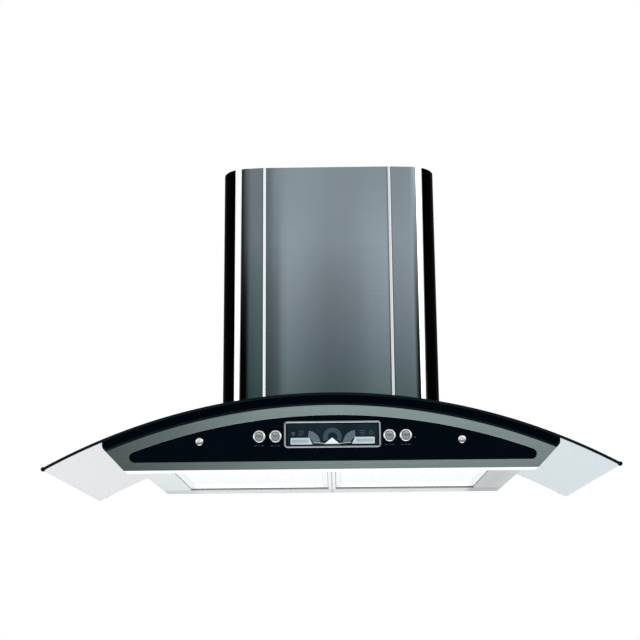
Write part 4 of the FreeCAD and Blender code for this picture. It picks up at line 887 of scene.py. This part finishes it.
def make_display():
    """The surround with its rounded rim, the dark cover and the screen, then the marks on it."""
    rim = [(0.8, 0), (0.8, 0.7), (1.1, 1.3), (1.7, 1.6), (2.6, 1.6), (3.3, 1.3), (3.7, 0.8), (3.7, 0)]
    surround = [(display_outline, inset, FASCIA_FRONT - proud) for inset, proud in rim]
    make_piece("display_surround", solid(stack(surround), ring=True), "bezel_grey",
               replaces=("display_bezel",))
    cover = [(display_outline, 3.8, FASCIA_FRONT), (display_outline, 3.8, FASCIA_FRONT - 0.7)]
    make_piece("display_cover", solid(stack(cover)), "display_dark",
               replaces=("display_window",))
    beside, below, above = 6.4, 5.6, 5.4
    screen = rounded_rectangle(PANEL_SHIFT - DISPLAY_HALF + beside, PANEL_SHIFT + DISPLAY_HALF - beside,
                               DISPLAY_Z - DISPLAY_RISE + below, DISPLAY_Z + DISPLAY_RISE - above, 1.5)
    make_piece("display_screen", plates([screen], FASCIA_FRONT - 0.76, 0.1), "screen_slate")

    make_marks("gauge_centre", gauge((0, -4.5), 7.4, 14.6, -28, 208, 12), "mark_faint", 0)
    make_marks("gauge_left", gauge((-39.4, -14.7), 9, 20.6, 2, 84, 7), "mark_mid", 0)
    make_marks("gauge_right", gauge((37, -14.4), 9, 20.6, 96, 178, 7), "mark_mid", 0)
    lines = [[(-28.5, -13.4), (-28.5, -12.2), (-12, -13.9), (-12, -14.9)],
             [(11, -14.9), (11, -13.9), (29, -12.4), (29, -13.6)],
             [(-14, -14.9), (-14, -15.5), (13, -15.5), (13, -14.9)]]
    make_marks("display_lines", [on_display(line) for line in lines], "mark_soft", 1)
    segments = [pill(-64, -58.5, -1.5, 4.2, 2.2),
                pill(-53, -44, 4.6, 5.8, 0.5), pill(-53, -44, 1.6, 2.8, 0.5), pill(-53, -46, -1.4, -0.2, 0.5),
                pill(42, 51, 4.6, 5.8, 0.5), pill(42, 51, 1.6, 2.8, 0.5), pill(44, 51, -1.4, -0.2, 0.5),
                on_display(ring_part(2.2, 3.3, 0, 359, (60.5, 2)))]
    make_marks("display_segments", segments, "mark_faint", 1)
    bars = [[(-65.4, -14.8), (-64.4, -15.8), (-31.2, -15.8), (-36.2, -5.4), (-64.4, -5.4), (-65.4, -6.4)],
            [(30.3, -15.2), (64.8, -15.2), (65.7, -14.3), (65.7, -5.2), (64.8, -4.6), (35.2, -4.6)]]
    make_marks("display_bars", [on_display(outline) for outline in bars], "mark_pale", 1)
    slots = [pill(-63.4, -37.2, -13, -8.2, 1.2), pill(37, 63.8, -12.4, -7.4, 1.2)]
    make_marks("display_bar_slots", slots, "mark_soft", 2)
    pointer = [(-12.2, -14.8), (10.7, -14.8), (-0.6, -5.2)]
    make_marks("display_pointer", [on_display(pointer)], "mark_white", 3)


# ---------------------------------------------------------------- buttons

BUTTON_MARKS = {
    "left_outer": [bar(-0.35, 0.35, 0.4, 2.6), ring_part(1.7, 2.4, 125, 415)],
    "left_inner": [bar(-2.1, 2.1, -0.35, 0.35)],
    "right_inner": [bar(-2.1, 2.1, -0.35, 0.35), bar(-0.35, 0.35, 0.35, 2.1), bar(-0.35, 0.35, -2.1, -0.35)],
    "right_outer": [ring_part(1.0, 1.6, 0, 359), bar(-0.3, 0.3, 2.1, 3.0), bar(-0.3, 0.3, -3.0, -2.1),
                    bar(2.1, 3.0, -0.3, 0.3), bar(-3.0, -2.1, -0.3, 0.3)],
}
RING_PROFILE = [(6.5, -5), (6.5, 1.5), (6.75, 1.95), (7.4, 2.2), (8.3, 2.1), (9.2, 1.6), (9.8, 0.8), (10, 0),
                (8.2, 0), (8.2, -5)]
CAP_PROFILE = [(0.02, -10.4), (2.5, -10.4), (2.5, -6), (7.4, -6), (7.4, -5), (6.2, -5), (6.2, 2.5),
               (6.1, 3.0), (5.7, 3.45), (5.2, 3.6), (4.8, 3.45), (4.5, 3.1), (4.0, 3.0), (0.02, 3.1)]
SENSOR_PLACE = (131.5, 34)


def make_buttons():
    """Domed chrome rings, dished caps with a plain engraved mark, and a plain number below each."""
    for number, (name, x) in enumerate(BUTTON_X.items(), start=1):
        centre = (x, FASCIA_FRONT, BUTTON_Z)
        ring = solid(lathe(centre, RING_PROFILE, segments=56), ring=True)
        make_piece(f"ring_{name}", ring, "chrome", replaces=(f"bezel_{name}",))
        cap = solid(lathe(centre, CAP_PROFILE, segments=56))
        make_piece(f"cap_{name}", cap, "cap_chrome", body=f"button_{name}",
                   replaces=(f"button_{name}",))
        outlines = [[(x + u, BUTTON_Z + v) for u, v in points] for points in BUTTON_MARKS[name]]
        mark = plates(outlines, FASCIA_FRONT - 3.15, 0.35)
        make_piece(f"mark_{name}", mark, "mark_dark", body=f"button_{name}")
        make_caption(name, str(number), x)
    dot = circle_part(SENSOR_PLACE, 1.1, 0, 345, 23)
    make_piece("sensor_dot", plates([dot], FASCIA_FRONT - PRINT_PROUD, PRINT_DEPTH), "caption_grey")


def make_caption(name, text, x):
    """A plain number between two dashes, printed on the glass."""
    curve = bpy.data.curves.new(f"caption_curve_{name}", "FONT")
    curve.body = text
    curve.size = 4.2
    curve.align_x = "CENTER"
    curve.align_y = "CENTER"
    curve.resolution_u = 3
    flat = bpy.data.objects.new(f"caption_flat_{name}", curve)
    bpy.context.scene.collection.objects.link(flat)
    bpy.context.view_layer.update()
    mesh = bpy.data.meshes.new_from_object(flat)
    bpy.data.objects.remove(flat)
    bpy.data.curves.remove(curve)
    bm = bmesh.new()
    bm.from_mesh(mesh)
    bpy.data.meshes.remove(mesh)
    for vert in bm.verts:
        vert.co = Vector((x + vert.co.x, FASCIA_FRONT - PRINT_PROUD, CAPTION_Z + vert.co.y))
    dash = bar(-2.2, 2.2, -0.45, 0.45)
    spacing = 5.2
    dashes = [[(x + side * spacing + u, CAPTION_Z + v) for u, v in dash] for side in (-1, 1)]
    plates(dashes, FASCIA_FRONT - PRINT_PROUD, PRINT_DEPTH, bm)
    make_piece(f"caption_{name}", bm, "caption_grey")


# ---------------------------------------------------------------- chimney

def corner_arc(radius, x_start, x_end, side, count=8):
    """Points on a circle about the chimney's right or left corner centre, between two distances in x."""
    points = []
    first = math.asin((x_start - CORNER_X) / radius)
    last = math.asin((x_end - CORNER_X) / radius)
    for angle in steps(first, last, count):
        points.append((side * (CORNER_X + radius * math.sin(angle)), CORNER_Y - radius * math.cos(angle)))
    return points


def corner_band(outer, inner, span, side, count=8):
    """A band between two radii about a corner's centre."""
    return corner_arc(outer, *span, side, count) + corner_arc(inner, *span, side, count)[::-1]


def stand(outline, bm=None):
    """A sheet of an (x, y) outline that stands on the body's arched roof, in a new mesh or the one given."""
    if bm is None:
        bm = bmesh.new()
    loft(bm, [[(x, y, arch(ROOF, x)) for x, y in outline], [(x, y, CHIMNEY_TOP) for x, y in outline]])
    return bm


def in_recess(face):
    """Whether a face of a corner strip lies on its flange, behind the sheets."""
    centre = face.calc_center_median() / MM
    return math.hypot(abs(centre.x) - CORNER_X, centre.y - CORNER_Y) < CORNER_RADIUS - 0.6


def make_chimney_front():
    """The brushed sheet, folded at the inlays and bent round the front of both corners."""
    left, right = INLAYS
    rear = CHIMNEY_FRONT + SHEET
    outline = corner_arc(CORNER_RADIUS, CORNER_X, FRONT_END, -1)[::-1]
    outline += [(left, CHIMNEY_FRONT), (right, CHIMNEY_FRONT)]
    outline += corner_band(CORNER_RADIUS, SHEET_INSIDE, (CORNER_X, FRONT_END), 1)
    outline += [(right, rear), (left, rear)]
    outline += corner_arc(SHEET_INSIDE, CORNER_X, FRONT_END, -1)
    make_piece("chimney_front", stand(outline), "chimney_steel",
               replaces=("chimney_front_panel",), bevel=0.3, sharp=30)


def make_corner_strip(name, side):
    """A bright strip that stands proud in the gap between the sheets, on a flange behind them."""
    proud, flange = 0.6, 1.4
    bm = stand(corner_band(CORNER_RADIUS + proud, SHEET_INSIDE, STRIP_SPAN, side))
    # the flange behind the sheets; in_recess picks its faces for a steel finish with painted shade
    stand(corner_band(SHEET_INSIDE, SHEET_INSIDE - flange, FLANGE_SPAN, side, 12), bm)
    # the strip's finish is painted reflection and shade: bright over part of its width and near black over
    # the rest
    make_piece(f"strip_{name}", bm, "strip_bright", replaces=(f"corner_strip_{name}",), bevel=0.25,
               second=("recess_steel", in_recess))


def make_chimney_side(name, side):
    """A black sheet from its corner strip back to the wall."""
    rear = -0.4
    start = STRIP_SPAN[1]
    inner_half = CHIMNEY_HALF - SHEET
    outline = corner_arc(CORNER_RADIUS, start, CHIMNEY_HALF, side, 16)
    outline += [(side * CHIMNEY_HALF, rear), (side * inner_half, rear)]
    outline += corner_arc(SHEET_INSIDE, start, inner_half, side, 16)[::-1]
    make_piece(f"side_{name}", stand(outline), "side_black", replaces=(f"chimney_side_{name}",),
               bevel=0.3, sharp=30)


def make_inlays():
    """Two low bright ribs along the folds of the front sheet."""
    half = 2.25
    rib = [(-half, 0), (-2.2, 0.3), (-1.8, 0.55), (0, 0.6), (1.8, 0.55), (2.2, 0.3), (half, 0)]
    for name, x, inward in (("left", INLAYS[0], 1), ("right", INLAYS[1], -1)):
        outline = [(x + inward * half + across, CHIMNEY_FRONT - proud) for across, proud in rib]
        make_piece(f"inlay_{name}", stand(outline), "inlay_bright",
                   replaces=(f"chimney_inlay_{name}",))


def make_chimney():
    make_chimney_front()
    for name, side in SIDES:
        make_corner_strip(name, side)
        make_chimney_side(name, side)
    make_inlays()


# ---------------------------------------------------------------- filters and lamps

def make_filter_meshes():
    """Corrugated sheets of expanded aluminium inside the filter frames."""
    front, rear = -392, -75
    inner, outer = 15.1, 256
    waves = 40
    lower, upper, thickness = 7.0, 8.3, 0.5
    for name, side in SIDES:
        left, right = (inner, outer) if side > 0 else (-outer, -inner)
        line = [(x, lower if index % 2 else upper) for index, x in enumerate(steps(left, right, waves * 2))]
        section = line + [(x, z + thickness) for x, z in reversed(line)]
        bm = solid([upright(section, front), upright(section, rear)])
        make_piece(f"mesh_{name}", bm, "filter_aluminium", body=f"filter_{name}",
                   replaces=(f"filter_mesh_{name}",))


LAMP_X = 150
LAMP_Y = -431
LAMP_PROFILE = [(0.02, -1.35), (6, -1.3), (6.6, -1.1), (7.2, -1.28), (12, -1.15), (12.6, -0.9), (13.2, -1.1),
                (17.4, -0.95), (18.4, -0.4), (20.4, -0.3), (20.4, 1.2), (0.02, 1.2)]


def make_lamps():
    """Frosted lamp glasses with a rim and fine rings."""
    for name, side in SIDES:
        bm = solid(lathe((side * LAMP_X, LAMP_Y, 0), LAMP_PROFILE, axis=Z, segments=56))
        make_piece(f"lamp_glass_{name}", bm, "lamp_glass", replaces=(f"lamp_lens_{name}",))


# ---------------------------------------------------------------- carried-over pieces

def dress_nodes():
    """Finishes and slightly rounded edges for the pieces that keep their shape."""
    for part in frame["record"]["subparts"]:
        node = NODES[part["node"]]
        node.data.materials.clear()
        node.data.materials.append(MATERIALS[part["material_slot"]])
        weld = node.modifiers.new("weld", "WELD")
        weld.merge_threshold = 0.00002
        soften(node, 0.25, 40)
    for name in ("filter_frame_left", "filter_frame_right"):
        NODES[name].data.materials[0] = MATERIALS["rail_bright"]
    # the underside frame gets a finish with painted shade and painted shadow lines
    NODES["underside_frame"].data.materials[0] = MATERIALS["underside_steel"]


add_camera()
add_world()
add_floor()
add_light("key", place=(1.9, -2.6, 1.7), target=(0, -0.2, 0.2), size=(1.8, 1.8), power=16)
add_light("fill", place=(-2.0, -2.4, 0.2), target=(0, -0.3, 0.1), size=(1.8, 1.8), power=7)
add_light("under", place=(0, -0.9, -1.35), target=(0, -0.3, 0), size=(2.2, 1.6), power=32)
MATERIALS = {name: make(name, **settings) for name, (make, settings) in FINISHES.items()}
make_canopy()
make_edge_trim()
make_moulding()
make_fascia()
make_control_glass()
make_studs()
make_display()
make_buttons()
make_chimney()
make_filter_meshes()
make_lamps()
dress_nodes()
